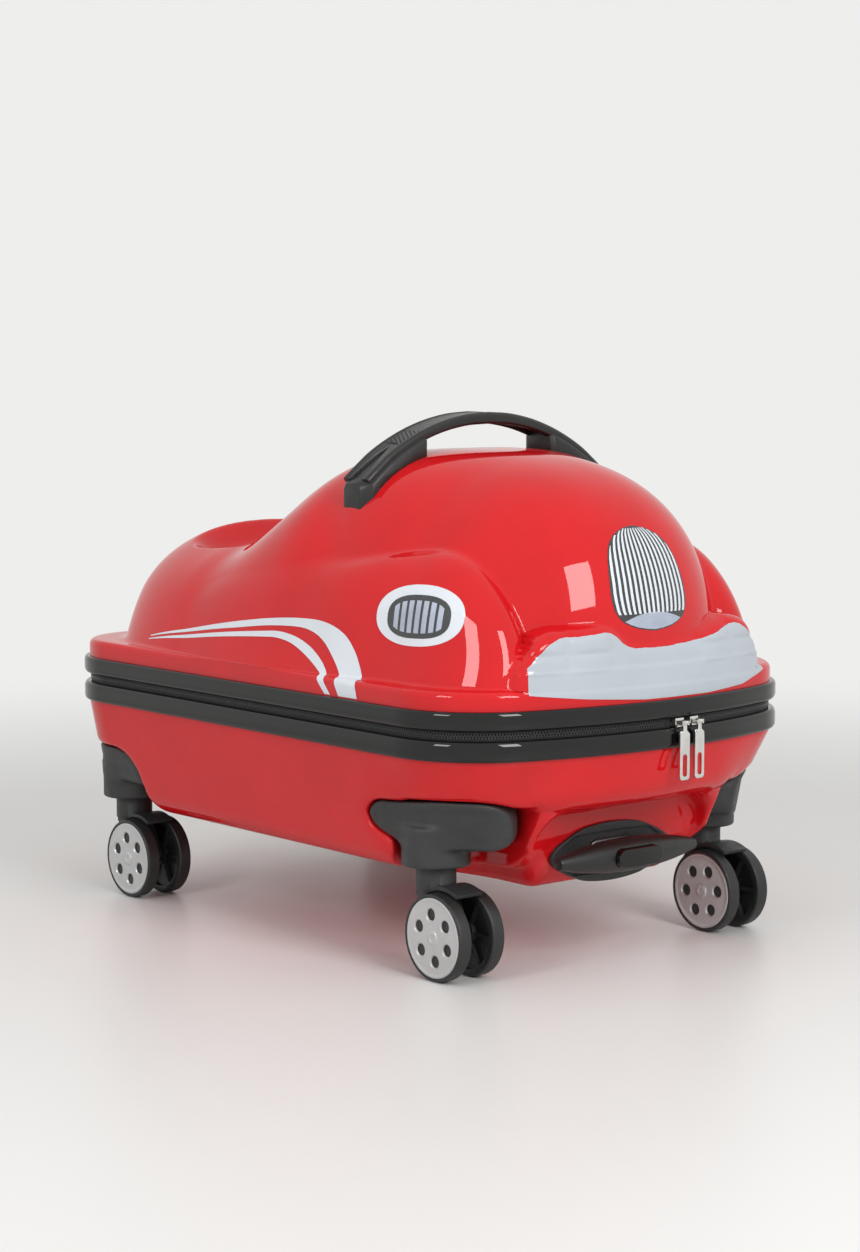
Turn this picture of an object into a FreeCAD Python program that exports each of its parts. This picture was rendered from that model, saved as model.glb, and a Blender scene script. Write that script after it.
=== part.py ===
"""Ride-on suitcase as a parametric document: one STEP file per piece.

Millimetres. +Z up, the floor is z = 0, the car's front faces -Y and the lid opens towards +X.
"""
import FreeCAD
import Part
import Sketcher
import math
import os

V = FreeCAD.Vector
doc = FreeCAD.newDocument("RideOnSuitcase")

# Driving dimensions
DIMENSIONS = [
    ("case_length", 500, "over the rims, front to rear"),
    ("case_width", 323, "over the rims"),
    ("front_bow", 37, "how far the front edge bows out"),
    ("front_corner", 72, "plan radius of the rims' front corners"),
    ("rear_corner", 62, "plan radius of the rims' rear corners"),
    ("wall", 2.5, "shell wall"),
    ("fit_gap", 0.2, "between pieces that are fixed together"),
    ("slip_gap", 0.3, "between pieces that move"),
    ("run_gap", 0.05, "radial clearance of a pin or axle that turns"),
    ("press_gap", 0.02, "radial clearance of a pressed pin"),
    ("overrun", 1, "how far a cutting tool runs past a face"),
    ("rim_bottom", 148, "floor to the lower rim"),
    ("lower_rim_height", 13.5, ""),
    ("upper_rim_height", 12.5, ""),
    ("zip_gap", 6.5, "between the rims"),
    ("rim_web", 3.3, "closed side of the rim channel"),
    ("rim_inner_skin", 2.5, ""),
    ("flange_inset", 4, "shell flange inside the rim's outer face"),
    ("ledge_rise", 12.5, "upper rim to the ledge under the car body"),
    ("zip_inset", 4.6, "zip chain inside the rim's outer face"),
    ("zip_thickness", 2.8, ""),
    ("zip_part", 0.3, "between the two rows of teeth"),
    ("hinge_front_margin", 100, "rims' front to the fabric hinge"),
    ("hinge_rear_margin", 70, "rims' rear to the fabric hinge"),
    ("hinge_tape_inset", 0.3, "fabric hinge inside the rim's outer face"),
    ("hinge_tape_thickness", 1.2, ""),
    ("side_ledge", 14.5, "rims' outer face to the car body"),
    ("front_ledge", 30, "rims' front to the fenders"),
    ("rear_ledge", 14, "rims' rear to the car body"),
    ("nose_ledge", 10, "rims' front to the nose"),
    ("fender_low", 58, "fender height at its rear end"),
    ("fender_rise", 28, "extra fender height at the front"),
    ("fender_half_width", 40, "half width of a fender's ridge"),
    ("fender_turn_in", 7, "how far the ridge runs in at the front"),
    ("fender_slim", 2, "how much narrower half of it is there"),
    ("fender_turn_start", 60, "where it begins to run in, forward of the middle"),
    ("fender_fall", 140, "where the ridge begins to fall, forward of the middle"),
    ("fender_soft_start", 90, "where its section grows rounder, forward of the middle"),
    ("fender_soft_end", 190, "where it is roundest"),
    ("fender_tail", 110, "fender's rear end behind the middle"),
    ("fender_rise_start", 60, "where the fender begins to rise, behind the middle"),
    ("fender_rise_end", 150, "where it is highest and has run in, forward of the middle"),
    ("seat_height", 86, "seat block above the ledge"),
    ("seat_nose", 160, "seat block's front end, inside the cabin, forward of the middle"),
    ("back_rise", 62, "extra height of the seat's sides where they run up to the roof"),
    ("back_foot", 100, "where they begin to rise, behind the middle"),
    ("back_top", 30, "where they are highest, forward of the middle"),
    ("tail_start", 126, "where the seat's section grows rounder, forward of the car body's rear end"),
    ("tail_end", 46, "where it is roundest"),
    ("seat_lip", 14, "extra height of the rear lip"),
    ("lip_start", 116, "foot of the lip, forward of the car body's rear end"),
    ("lip_end", 31, "top of the lip, forward of the car body's rear end"),
    ("scoop_depth", 20, "hollow of the seat"),
    ("scoop_back", 110, "scoop's middle to the car body's rear end"),
    ("scoop_half_length", 70, ""),
    ("scoop_margin", 49, "car body's side to the scoop"),
    ("scoop_edge", 0.6, "share of the scoop that slopes"),
    ("scoop_low", 20, "height above the ledge where the scoop begins to act"),
    ("scoop_full", 50, "height above the ledge where it acts fully"),
    ("cabin_height", 148, "roof above the ledge"),
    ("cabin_inset", 16, "car body's side to the cabin"),
    ("cabin_crown", 60, "highest point forward of the middle"),
    ("cabin_rear", 165, "crown to the cabin's tail"),
    ("round_nose_end", 135, "cabin's round nose section, forward of the middle"),
    ("square_roof_start", 55, "cabin's squarer roof section, forward of the middle"),
    ("foot_flare", 5, "how far the car body's sides run out at their foot"),
    ("foot_height", 34, "height of that flare above the ledge"),
    ("blend", 6, "rounding where cabin and fender meet"),
    ("low_blend", 13.5, "rounding where fender and seat meet"),
    ("tub_straight", 12, "upright part of the lower shell"),
    ("tub_bottom", 68, "floor to the lower shell"),
    ("tub_draft", 14, "lower shell's taper per side"),
    ("tub_round", 16, "lower shell's bottom edge"),
    ("keel_bottom", 52, "floor to the pole keel"),
    ("keel_half_width", 78, ""),
    ("keel_rear_inset", 36, "rims' rear to the keel"),
    ("keel_round", 10, ""),
    ("niche_depth", 54, "rims' front to the handle niche's back wall"),
    ("niche_half_width", 86, ""),
    ("niche_top", 107, ""),
    ("niche_round", 14, ""),
    ("caster_side_inset", 38.5, "rims' side to the swivel axes"),
    ("caster_front_inset", 89, "rims' front to the front swivel axes"),
    ("caster_rear_inset", 51, "rims' rear to the rear swivel axes"),
    ("pocket_height", 40, "wheel pocket's roof above its boss"),
    ("front_pocket_top", 48, "front pocket's radius at its roof"),
    ("pocket_throat", 31, "front pocket's radius round the boss"),
    ("flare_low", 9, "where the front pocket begins to widen, above the boss's bottom"),
    ("flare_high", 25, "where it is full width"),
    ("lobe_out", 10, "front housing's lobe round the corner, outside the swivel axis"),
    ("lobe_ahead", 45, "the same forward of the axis"),
    ("lobe_low", 21, "lobe's radius at its bottom"),
    ("lobe_high", 29, "lobe's radius at its top"),
    ("lobe_bottom", 11, "lobe's bottom above the boss's bottom"),
    ("lobe_lift", 4, "lobe's top above the pocket's roof"),
    ("rear_pocket_top", 44, ""),
    ("rear_pocket_low", 64, ""),
    ("boss_radius", 23, ""),
    ("boss_lift", 15, "boss above the wheels"),
    ("boss_height", 15, "plain part of the boss"),
    ("pin_radius", 5, "swivel pin"),
    ("pin_cover", 9, "pin's top below the pocket's roof"),
    ("pin_head_radius", 8, ""),
    ("pin_head_height", 2.8, ""),
    ("rivet_radius", 3, "rivets that hold a housing"),
    ("rivet_length", 14, ""),
    ("rivet_x", 22, "rivets from the swivel axis"),
    ("rivet_y", 18, ""),
    ("neck_radius", 13.5, "fork's round neck"),
    ("neck_height", 16, "boss to the neck's lower end"),
    ("leg_root", 5, "fork leg's overlap with the neck"),
    ("leg_step", 1, "fork leg inside the neck's outline"),
    ("leg_back", 4, "fork leg's back below the neck"),
    ("leg_thickness", 14, ""),
    ("trail", 19, "axle from the swivel axis"),
    ("hub_boss", 9, "fork's boss round the axle"),
    ("hood_gap", 1.4, "fork hood over the wheels"),
    ("hood_thickness", 2.6, ""),
    ("hood_width", 22, ""),
    ("hood_angle", 28, "degrees the hood reaches beyond the top"),
    ("wheel_radius", 29, ""),
    ("wheel_width", 10, ""),
    ("wheel_gap", 18, "between a caster's two wheels"),
    ("wheel_edge", 1.5, "tread's rounded edge"),
    ("wheel_recess", 3.2, "hollow of the wheel's inner side"),
    ("tread_depth", 5, ""),
    ("hub_radius", 8, ""),
    ("spoke_width", 2.4, ""),
    ("spoke_count", 6, ""),
    ("axle_radius", 3, ""),
    ("cap_radius", 26.6, ""),
    ("cap_thickness", 1.6, ""),
    ("cap_hole_radius", 3.4, ""),
    ("cap_hole_circle", 15.5, ""),
    ("cap_boss_radius", 5, ""),
    ("cap_boss_height", 0.5, ""),
    ("pole_lift", 21, "pole's axis above the keel"),
    ("pole_half_width", 20, "inner tube"),
    ("pole_half_depth", 7, "inner tube"),
    ("tube_wall", 1.2, ""),
    ("tube_gap", 0.5, "between two tubes"),
    ("tube_step", 5, "each tube shorter than the one round it"),
    ("end_block_length", 12, ""),
    ("bezel_half_width", 55, ""),
    ("bezel_half_height", 20, ""),
    ("bezel_thickness", 3, ""),
    ("bezel_well_inset", 6, "flat margin round the bezel's well"),
    ("bezel_well_depth", 1.2, ""),
    ("grip_half_length", 62, ""),
    ("grip_radius", 11.5, "grip at its middle"),
    ("grip_end_radius", 4, "grip at its ends"),
    ("grip_back", 3, "grip to bezel"),
    ("button_half_length", 20, ""),
    ("button_half_height", 6, ""),
    ("button_travel", 3, ""),
    ("button_stand", 3, "button's face in front of the grip"),
    ("button_depth", 8, ""),
    ("spring_radius", 4, ""),
    ("spring_wire", 0.5, "radius of the wire"),
    ("spring_floor", 2, "wall between the spring and the inner tube"),
    ("spring_turns", 4, ""),
    ("rod_radius", 2, ""),
    ("handle_middle", 58, "carry handle forward of the middle"),
    ("handle_depth", 28, "strap width, front to rear"),
    ("handle_rise", 25.5, "roof to the strap's top"),
    ("handle_strap", 8.5, "strap thickness"),
    ("handle_half_span", 78, "strap's ends"),
    ("handle_drop", 20, "strap's ends below its top"),
    ("foot_inner", 57, "handle foot's inner end"),
    ("foot_outer", 113, "handle foot's outer end"),
    ("foot_peak", 84, "where the foot is highest"),
    ("foot_inner_rise", 1, "foot's inner end above the roof"),
    ("foot_peak_rise", 11, "foot's highest point above the roof"),
    ("foot_outer_drop", 20, "foot's outer end below the roof"),
    ("foot_depth", 32, ""),
    ("plate_inner", 66, ""),
    ("plate_outer", 100, ""),
    ("plate_thickness", 2, ""),
    ("screw_radius", 2, ""),
    ("screw_length", 10, ""),
    ("screw_inner", 74, "handle screws from the middle"),
    ("screw_outer", 94, ""),
    ("lining_gap", 0.4, "lining to shell"),
    ("lining_thickness", 1.2, ""),
    ("hump_gap", 3, "lining over the pole"),
    ("stud_radius", 6, "studs under the lower shell"),
    ("stud_height", 3, ""),
    ("stud_inset", 45.5, "rims' side to the studs"),
    ("stud_front", 78, ""),
    ("stud_rear", 100, ""),
    ("slider_first", 2.0, "left slider along the front arc, degrees"),
    ("slider_second", 4.2, "right slider along the front arc, degrees"),
    ("slider_width", 8, ""),
    ("slider_depth", 4, ""),
    ("lug_width", 1.2, ""),
    ("lug_span", 6.5, "between the outer faces of the slider's lugs"),
    ("lug_reach", 4.2, "slider's pull pin in front of the rim"),
    ("pull_pin_radius", 0.8, ""),
    ("pull_width", 9, ""),
    ("pull_length", 38, ""),
    ("pull_thickness", 1.6, ""),
    ("pull_neck_width", 3.4, ""),
    ("pull_neck_length", 5, ""),
    ("pull_slot_width", 4.4, ""),
    ("pull_slot_length", 15, ""),
]

sheet = doc.addObject("Spreadsheet::Sheet", "Dims")
for row, (alias, number, note) in enumerate(DIMENSIONS, start=1):
    sheet.set(f"A{row}", alias)
    sheet.set(f"B{row}", str(number))
    sheet.set(f"C{row}", note)
    sheet.setAlias(f"B{row}", alias)
doc.recompute()


class Size:
    """A number from the sheet together with the expression that gives it."""

    def __init__(self, value, text):
        self.value = float(value)
        self.text = text

    def _join(self, other, sign, value):
        return Size(value, f"({self.text} {sign} {other.text})")

    def __add__(self, other):
        other = as_size(other)
        return self._join(other, "+", self.value + other.value)

    def __sub__(self, other):
        other = as_size(other)
        return self._join(other, "-", self.value - other.value)

    def __mul__(self, other):
        other = as_size(other)
        return self._join(other, "*", self.value * other.value)

    def __truediv__(self, other):
        other = as_size(other)
        return self._join(other, "/", self.value / other.value)

    def __neg__(self):
        return as_size(0) - self

    def __radd__(self, other):
        return as_size(other) + self

    def __rsub__(self, other):
        return as_size(other) - self

    def __rmul__(self, other):
        return as_size(other) * self


def as_size(number):
    if isinstance(number, Size):
        return number
    return Size(number, f"({float(number)})")


def root(size):
    return Size(math.sqrt(size.value), f"sqrt({size.text})")


D = {alias: Size(sheet.get(alias), f"Dims.{alias}") for alias, _, _ in DIMENSIONS}


# Sizes that follow from others
HALF_WIDTH = D["case_width"] / 2
HALF_LENGTH = D["case_length"] / 2
BOW_RADIUS = (HALF_WIDTH * HALF_WIDTH + D["front_bow"] * D["front_bow"]) / (2 * D["front_bow"])
BOW_CENTRE = BOW_RADIUS - HALF_LENGTH
D["body_half_width"] = HALF_WIDTH - D["side_ledge"]
D["body_front"] = HALF_LENGTH - D["front_ledge"]
D["body_rear"] = HALF_LENGTH - D["rear_ledge"]
D["scoop_middle"] = D["body_rear"] - D["scoop_back"]
D["scoop_half_width"] = D["body_half_width"] - D["scoop_margin"]
D["cabin_half_width"] = D["body_half_width"] - D["cabin_inset"]
D["cabin_front"] = HALF_LENGTH - D["nose_ledge"] - D["cabin_crown"]
D["hinge_tape_front"] = HALF_LENGTH - D["hinge_front_margin"]
D["hinge_tape_rear"] = HALF_LENGTH - D["hinge_rear_margin"]
D["niche_face"] = HALF_LENGTH - D["niche_depth"]
D["caster_x"] = HALF_WIDTH - D["caster_side_inset"]
D["caster_front"] = HALF_LENGTH - D["caster_front_inset"]
D["caster_rear"] = HALF_LENGTH - D["caster_rear_inset"]
D["boss_bottom"] = 2 * D["wheel_radius"] + D["boss_lift"]
D["pocket_top"] = D["boss_bottom"] + D["pocket_height"]
D["pin_top"] = D["pocket_top"] - D["pin_cover"]
D["neck_bottom"] = D["boss_bottom"] - D["neck_height"]
D["pin_head_bottom"] = D["neck_bottom"] + D["fit_gap"]
D["pole_height"] = D["keel_bottom"] + D["pole_lift"]
D["keel_rear"] = HALF_LENGTH - D["keel_rear_inset"]
D["outer_tube_rear"] = D["keel_rear"] - D["keel_round"]
D["middle_tube_rear"] = D["outer_tube_rear"] - D["tube_step"]
D["inner_tube_rear"] = D["middle_tube_rear"] - D["tube_step"]
D["stud_x"] = HALF_WIDTH - D["stud_inset"]


def num(alias):
    return D[alias].value


# Document helpers
def place(obj, x=0, y=0, z=0, axis=None, angle=0):
    """Put an object at a point given by sizes, turned about an axis through its own origin."""
    if axis is not None:
        obj.Placement = FreeCAD.Placement(V(), FreeCAD.Rotation(axis, angle))
    for letter, size in zip("xyz", (x, y, z)):
        obj.setExpression(f"Placement.Base.{letter}", as_size(size).text)
    return obj


def primitive(kind, label, sizes, x=0, y=0, z=0, axis=None, angle=0):
    obj = doc.addObject(f"Part::{kind}", label)
    for name, size in sizes.items():
        obj.setExpression(name, as_size(size).text)
    return place(obj, x, y, z, axis, angle)


def box(label, x0, x1, y0, y1, z0, z1):
    x0, x1, y0, y1, z0, z1 = (as_size(s) for s in (x0, x1, y0, y1, z0, z1))
    return primitive("Box", label, {"Length": x1 - x0, "Width": y1 - y0, "Height": z1 - z0}, x0, y0, z0)


def post(label, radius, x, y, z0, z1):
    return primitive("Cylinder", label, {"Radius": radius, "Height": as_size(z1) - z0}, x, y, z0)


def rod_along_x(label, radius, x0, x1, y, z):
    sizes = {"Radius": radius, "Height": as_size(x1) - x0}
    return primitive("Cylinder", label, sizes, x0, y, z, V(0, 1, 0), 90)


def fuse(label, *parts):
    obj = doc.addObject("Part::MultiFuse", label)
    obj.Shapes = list(parts)
    return obj


def cut(label, base, *tools):
    obj = doc.addObject("Part::Cut", label)
    obj.Base = base
    obj.Tool = tools[0] if len(tools) == 1 else fuse(f"{label}_tools", *tools)
    return obj


def common(label, *parts):
    obj = doc.addObject("Part::MultiCommon", label)
    obj.Shapes = list(parts)
    return obj


def new_body(label):
    return doc.addObject("PartDesign::Body", label)


def origin_plane(body, role):
    return next(feature for feature in body.Origin.OriginFeatures if feature.Role == role)


def arc_between(p, q, radius):
    """Arc of under a half circle from p to q, turning left for a positive radius."""
    chord = q - p
    half = chord.Length / 2
    side = V(-chord.y, chord.x, 0).normalize()
    rise = math.sqrt(max(radius * radius - half * half, 0))
    centre = (p + q) * 0.5 + side * math.copysign(rise, radius)
    first, last = (p, q) if radius > 0 else (q, p)
    start = math.atan2(first.y - centre.y, first.x - centre.x)
    end = math.atan2(last.y - centre.y, last.x - centre.x)
    if end < start:
        end += 2 * math.pi
    return Part.ArcOfCircle(Part.Circle(centre, V(0, 0, 1), abs(radius)), start, end)


def add_loop(sketch, points, arcs):
    """Closed loop of lines and arcs; every corner and radius is bound to the sheet."""
    points = [(as_size(x), as_size(y)) for x, y in points]
    places = [V(x.value, y.value, 0) for x, y in points]
    count = len(points)
    ends = []
    for i, p in enumerate(places):
        q = places[(i + 1) % count]
        if i in arcs:
            geo = sketch.addGeometry(arc_between(p, q, as_size(arcs[i]).value), False)
            ends.append((geo, 1, 2) if as_size(arcs[i]).value > 0 else (geo, 2, 1))
        else:
            ends.append((sketch.addGeometry(Part.LineSegment(p, q), False), 1, 2))
    for i, (geo, _, last) in enumerate(ends):
        following, first, _ = ends[(i + 1) % count]
        sketch.addConstraint(Sketcher.Constraint("Coincident", geo, last, following, first))
    for (geo, first, _), (x, y) in zip(ends, points):
        for kind, size in (("DistanceX", x), ("DistanceY", y)):
            index = sketch.addConstraint(Sketcher.Constraint(kind, -1, 1, geo, first, size.value))
            sketch.setExpression(f"Constraints[{index}]", size.text)
    for i, radius in arcs.items():
        size = as_size(radius) if as_size(radius).value > 0 else -as_size(radius)
        index = sketch.addConstraint(Sketcher.Constraint("Radius", ends[i][0], size.value))
        sketch.setExpression(f"Constraints[{index}]", size.text)


def profile(body, role, *loops, offset=0):
    """Sketch on one of the body's origin planes; a loop is a list of corners and its arcs."""
    sketch = body.newObject("Sketcher::SketchObject", f"{body.Name}_sketch")
    sketch.AttachmentSupport = [(origin_plane(body, role), "")]
    sketch.MapMode = "FlatFace"
    sketch.setExpression("AttachmentOffset.Base.z", as_size(offset).text)
    for points, arcs in loops:
        add_loop(sketch, points, arcs)
    return sketch


def extrude(body, kind, sketch, length, reverse=False):
    feature = body.newObject(f"PartDesign::{kind}", f"{body.Name}_{kind.lower()}")
    feature.Profile = sketch
    feature.setExpression("Length", as_size(length).text)
    feature.Reversed = reverse
    return feature


def pad(body, sketch, length, reverse=False):
    return extrude(body, "Pad", sketch, length, reverse)


def pocket(body, sketch, length, reverse=False):
    return extrude(body, "Pocket", sketch, length, reverse)


def revolve(body, sketch, axis):
    feature = body.newObject("PartDesign::Revolution", f"{body.Name}_revolution")
    feature.Profile = sketch
    feature.ReferenceAxis = (sketch, [axis])
    feature.Angle = 360
    return feature


def polar(body, feature, role, count):
    pattern = body.newObject("PartDesign::PolarPattern", f"{body.Name}_pattern")
    pattern.Originals = [feature]
    pattern.Axis = (next(f for f in body.Origin.OriginFeatures if f.Role == role), [""])
    pattern.Angle = 360
    pattern.setExpression("Occurrences", as_size(count).text)
    body.Tip = pattern
    return pattern


def round_edges_at_height(body, feature, height, radius):
    """Fillet every edge of the feature that lies flat at one height."""
    doc.recompute()
    names = []
    for i, edge in enumerate(feature.Shape.Edges, start=1):
        if max(abs(vertex.Z - height.value) for vertex in edge.Vertexes) < 1e-4:
            names.append(f"Edge{i}")
    fillet = body.newObject("PartDesign::Fillet", f"{body.Name}_fillet")
    fillet.Base = (feature, names)
    fillet.setExpression("Radius", as_size(radius).text)
    return fillet


# Loops used by several pieces
def outline(inset):
    """Plan outline of the case, moved in from the rims' outer face."""
    half = HALF_WIDTH
    bow_radius = BOW_RADIUS
    bow_centre = BOW_CENTRE
    corner_x = half - D["front_corner"]
    reach = bow_radius - D["front_corner"]
    drop = root(reach * reach - corner_x * corner_x)
    corner_y = bow_centre - drop
    join_x = (bow_radius - inset) * corner_x / reach
    join_y = bow_centre - (bow_radius - inset) * drop / reach
    side = half - inset
    rear = HALF_LENGTH - inset
    rear_x = half - D["rear_corner"]
    rear_y = HALF_LENGTH - D["rear_corner"]
    points = [(-side, corner_y), (-join_x, join_y), (join_x, join_y), (side, corner_y),
              (side, rear_y), (rear_x, rear), (-rear_x, rear), (-side, rear_y)]
    front = D["front_corner"] - inset
    back = D["rear_corner"] - inset
    return points, {0: front, 1: bow_radius - inset, 2: front, 4: back, 6: back}


def rounded_box(x0, x1, y0, y1, radius):
    x0, x1, y0, y1 = (as_size(s) for s in (x0, x1, y0, y1))
    points = [(x0 + radius, y0), (x1 - radius, y0), (x1, y0 + radius), (x1, y1 - radius),
              (x1 - radius, y1), (x0 + radius, y1), (x0, y1 - radius), (x0, y0 + radius)]
    return points, {1: radius, 3: radius, 5: radius, 7: radius}


def stadium(half_length, half_height, y=0):
    """Slot shape along the sketch's first axis, with quarter-circle arcs at its ends."""
    y = as_size(y)
    flat = half_length - half_height
    points = [(-flat, y - half_height), (flat, y - half_height), (half_length, y),
              (flat, y + half_height), (-flat, y + half_height), (-half_length, y)]
    return points, {1: half_height, 2: half_height, 4: half_height, 5: half_height}


SEAM = D["rim_bottom"] + D["lower_rim_height"] + D["zip_gap"] / 2
LOWER_RIM_TOP = D["rim_bottom"] + D["lower_rim_height"]
UPPER_RIM_BOTTOM = LOWER_RIM_TOP + D["zip_gap"]
LEDGE = UPPER_RIM_BOTTOM + D["upper_rim_height"] + D["ledge_rise"]
LOWER_SHELL_TOP = LOWER_RIM_TOP - D["rim_web"] - D["fit_gap"]
UPPER_SHELL_BOTTOM = UPPER_RIM_BOTTOM + D["rim_web"] + D["fit_gap"]
ROOF = LEDGE + D["cabin_height"]
HANDLE_TOP = ROOF + D["handle_rise"]
FOOT_ROOT = LEDGE + D["fender_low"]
nodes = []


def keep(obj, label):
    """Name a finished piece and put it on the list of files."""
    obj.Label = label
    nodes.append(obj)
    return obj


# Rims and zip
def make_rim(label, bottom, height, groove_opens_up):
    body = new_body(label)
    depth = D["flange_inset"] + D["wall"] + D["fit_gap"] + D["rim_inner_skin"]
    pad(body, profile(body, "XY_Plane", outline(as_size(0)), outline(depth), offset=bottom), height)
    outer = outline(D["flange_inset"] - D["fit_gap"])
    inner = outline(D["flange_inset"] + D["wall"] + D["fit_gap"])
    mouth = bottom + height if groove_opens_up else bottom
    groove = profile(body, "XY_Plane", outer, inner, offset=mouth)
    pocket(body, groove, height - D["rim_web"], reverse=not groove_opens_up)
    return keep(body, label)


def make_zip_half(label, bottom, height):
    ring = new_body(f"{label}_ring")
    outer = outline(D["zip_inset"])
    inner = outline(D["zip_inset"] + D["zip_thickness"])
    pad(ring, profile(ring, "XY_Plane", outer, inner, offset=bottom), height)
    gap = D["slip_gap"]
    over = D["overrun"]
    hinge_room = box(f"{label}_hinge_room", 0, D["case_width"], -D["hinge_tape_front"] - gap,
                     D["hinge_tape_rear"] + gap, bottom - over, bottom + height + over)
    return keep(cut(label, ring, hinge_room), label)


def make_hinge_tape(label, bottom, height):
    face = HALF_WIDTH - D["hinge_tape_inset"]
    tape = box(label, face - D["hinge_tape_thickness"], face,
               -D["hinge_tape_front"], D["hinge_tape_rear"], bottom, bottom + height)
    return keep(tape, label)


half_zip = (D["zip_gap"] - D["zip_part"]) / 2
make_rim("lower_rim", D["rim_bottom"], D["lower_rim_height"], groove_opens_up=False)
make_rim("upper_rim", UPPER_RIM_BOTTOM, D["upper_rim_height"], groove_opens_up=True)
make_zip_half("zip_tape_lower", LOWER_RIM_TOP, half_zip)
make_zip_half("zip_tape_upper", UPPER_RIM_BOTTOM - half_zip, half_zip)
make_hinge_tape("hinge_tape_lower", LOWER_RIM_TOP, half_zip)
make_hinge_tape("hinge_tape_upper", UPPER_RIM_BOTTOM - half_zip, half_zip)


# Upper shell: the car body is one smooth surface, so its points come from a formula
# Powers of the forms' superellipses: 2 is an ellipse, more is squarer
SEAT_SECTION = 2.6
REAR_SECTION = 2.2
SEAT_PLAN = 4.0
FENDER_SECTION = 3.2
FENDER_SOFT_SECTION = 1.8
FENDER_OUTSIDE = 3.2
FENDER_SOFT_OUTSIDE = 2.2
FENDER_INSIDE = 1.9
FENDER_TAIL = 2.5
NOSE_PLAN = 2.4
NOSE_SIDE = 2.8
TAIL_PLAN = 2.6
ELLIPSE = 2.0
NOSE_SECTION = 2.35
ROOF_SECTION = 3.2
SCOOP_POWER = 3
# Fineness of the surface
TURNS = 120
CLIMBS = 36
COARSE_STEP = 6.0
HALVINGS = 20


def smooth(low, high, value):
    t = min(max((value - low) / (high - low), 0.0), 1.0)
    return t * t * (3 - 2 * t)


def closing(distance, length, power):
    """Falls from 1 to 0 over a length, as a superellipse does."""
    t = distance / length
    return (1 - t ** power) ** (1 / power) if t < 1 else 0.0


def in_seat_block(x, y, z, inset):
    length, power = (num("body_rear") - inset, SEAT_PLAN) if y >= 0 else (num("seat_nose"), ELLIPSE)
    end = closing(abs(y), length, power)
    if end <= 0:
        return False
    width = (num("body_half_width") - inset) * end
    back = num("back_rise") * smooth(num("back_foot"), -num("back_top"), y)
    rear = num("body_rear")
    lip = num("seat_lip") * smooth(rear - num("lip_start"), rear - num("lip_end"), y)
    height = (num("seat_height") + back + lip) * end
    rounder = smooth(rear - num("tail_start"), rear - num("tail_end"), y)
    section = SEAT_SECTION + (REAR_SECTION - SEAT_SECTION) * rounder
    return (abs(x) / width) ** section + (z / height) ** section < 1


def in_fenders(x, y, z, inset):
    end = closing(max(y, 0.0), num("fender_tail"), FENDER_TAIL)
    half = num("fender_half_width") - inset
    if end <= 0:
        return False
    forward = smooth(-num("fender_turn_start"), -num("fender_rise_end"), y)
    middle = num("body_half_width") - num("fender_half_width") - num("fender_turn_in") * forward
    across = abs(x) - middle
    outside = FENDER_OUTSIDE + (FENDER_SOFT_OUTSIDE - FENDER_OUTSIDE) * forward
    wide = (abs(across) / ((half - num("fender_slim") * forward) * end)) ** (outside if across > 0 else FENDER_INSIDE)
    fall = num("body_front") - num("fender_fall") - inset
    ahead = (max(-num("fender_fall") - y, 0.0) / fall) ** FENDER_INSIDE
    height = (num("fender_low") + num("fender_rise") * smooth(num("fender_rise_start"), -num("fender_rise_end"), y)) * end
    square = smooth(-num("fender_soft_end"), -num("fender_soft_start"), y)
    section = FENDER_SOFT_SECTION + (FENDER_SECTION - FENDER_SOFT_SECTION) * square
    return wide + ahead + (z / height) ** section < 1


def in_cabin(x, y, z, inset):
    along = y + num("cabin_crown")
    if along < 0:
        length = num("cabin_front") - inset
        width, height = closing(-along, length, NOSE_PLAN), closing(-along, length, NOSE_SIDE)
    else:
        length = num("cabin_rear") - inset
        width, height = closing(along, length, TAIL_PLAN), closing(along, length, ELLIPSE)
    width *= num("cabin_half_width") - inset
    height *= num("cabin_height")
    square = smooth(-num("round_nose_end"), -num("square_roof_start"), y)
    power = NOSE_SECTION + (ROOF_SECTION - NOSE_SECTION) * square
    return width > 0 and (abs(x) / width) ** power + (z / height) ** power < 1


def reach_of(form, direction, inset):
    """Distance from the ledge's middle to the form's farthest skin: coarse steps from outside, then halving."""
    def inside(reach):
        return form(reach * direction.x, reach * direction.y, reach * direction.z, inset)
    low = num("case_length")
    while low > 0 and not inside(low):
        low -= COARSE_STEP
    low = max(low, 0.0)
    high = low + COARSE_STEP
    for _ in range(HALVINGS):
        middle = (low + high) / 2
        if inside(middle):
            low = middle
        else:
            high = middle
    return low


def soft_max(a, b, blend):
    overlap = max(blend - abs(a - b), 0.0) / blend
    return max(a, b) + overlap * overlap * blend / 4


def body_point(turn, climb, inset):
    """Point of the car body's skin, seen from the ledge's middle."""
    direction = V(math.cos(climb) * math.sin(turn), math.cos(climb) * math.cos(turn), math.sin(climb))
    seat, fender = (reach_of(form, direction, inset) for form in (in_seat_block, in_fenders))
    low = soft_max(seat, fender, num("low_blend"))
    point = direction * soft_max(low, reach_of(in_cabin, direction, inset), num("blend"))
    across = abs(point.x) / num("scoop_half_width")
    along = abs(point.y - num("scoop_middle")) / num("scoop_half_length")
    inside = 1 - across ** SCOOP_POWER - along ** SCOOP_POWER
    acts = smooth(num("scoop_low"), num("scoop_full"), point.z)
    point.z -= num("scoop_depth") * smooth(0, num("scoop_edge"), inside) * acts
    low = max(1 - point.z / num("foot_height"), 0.0)
    point.x *= 1 + num("foot_flare") / num("body_half_width") * low ** 2
    point.z += LEDGE.value - inset
    return point


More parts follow.
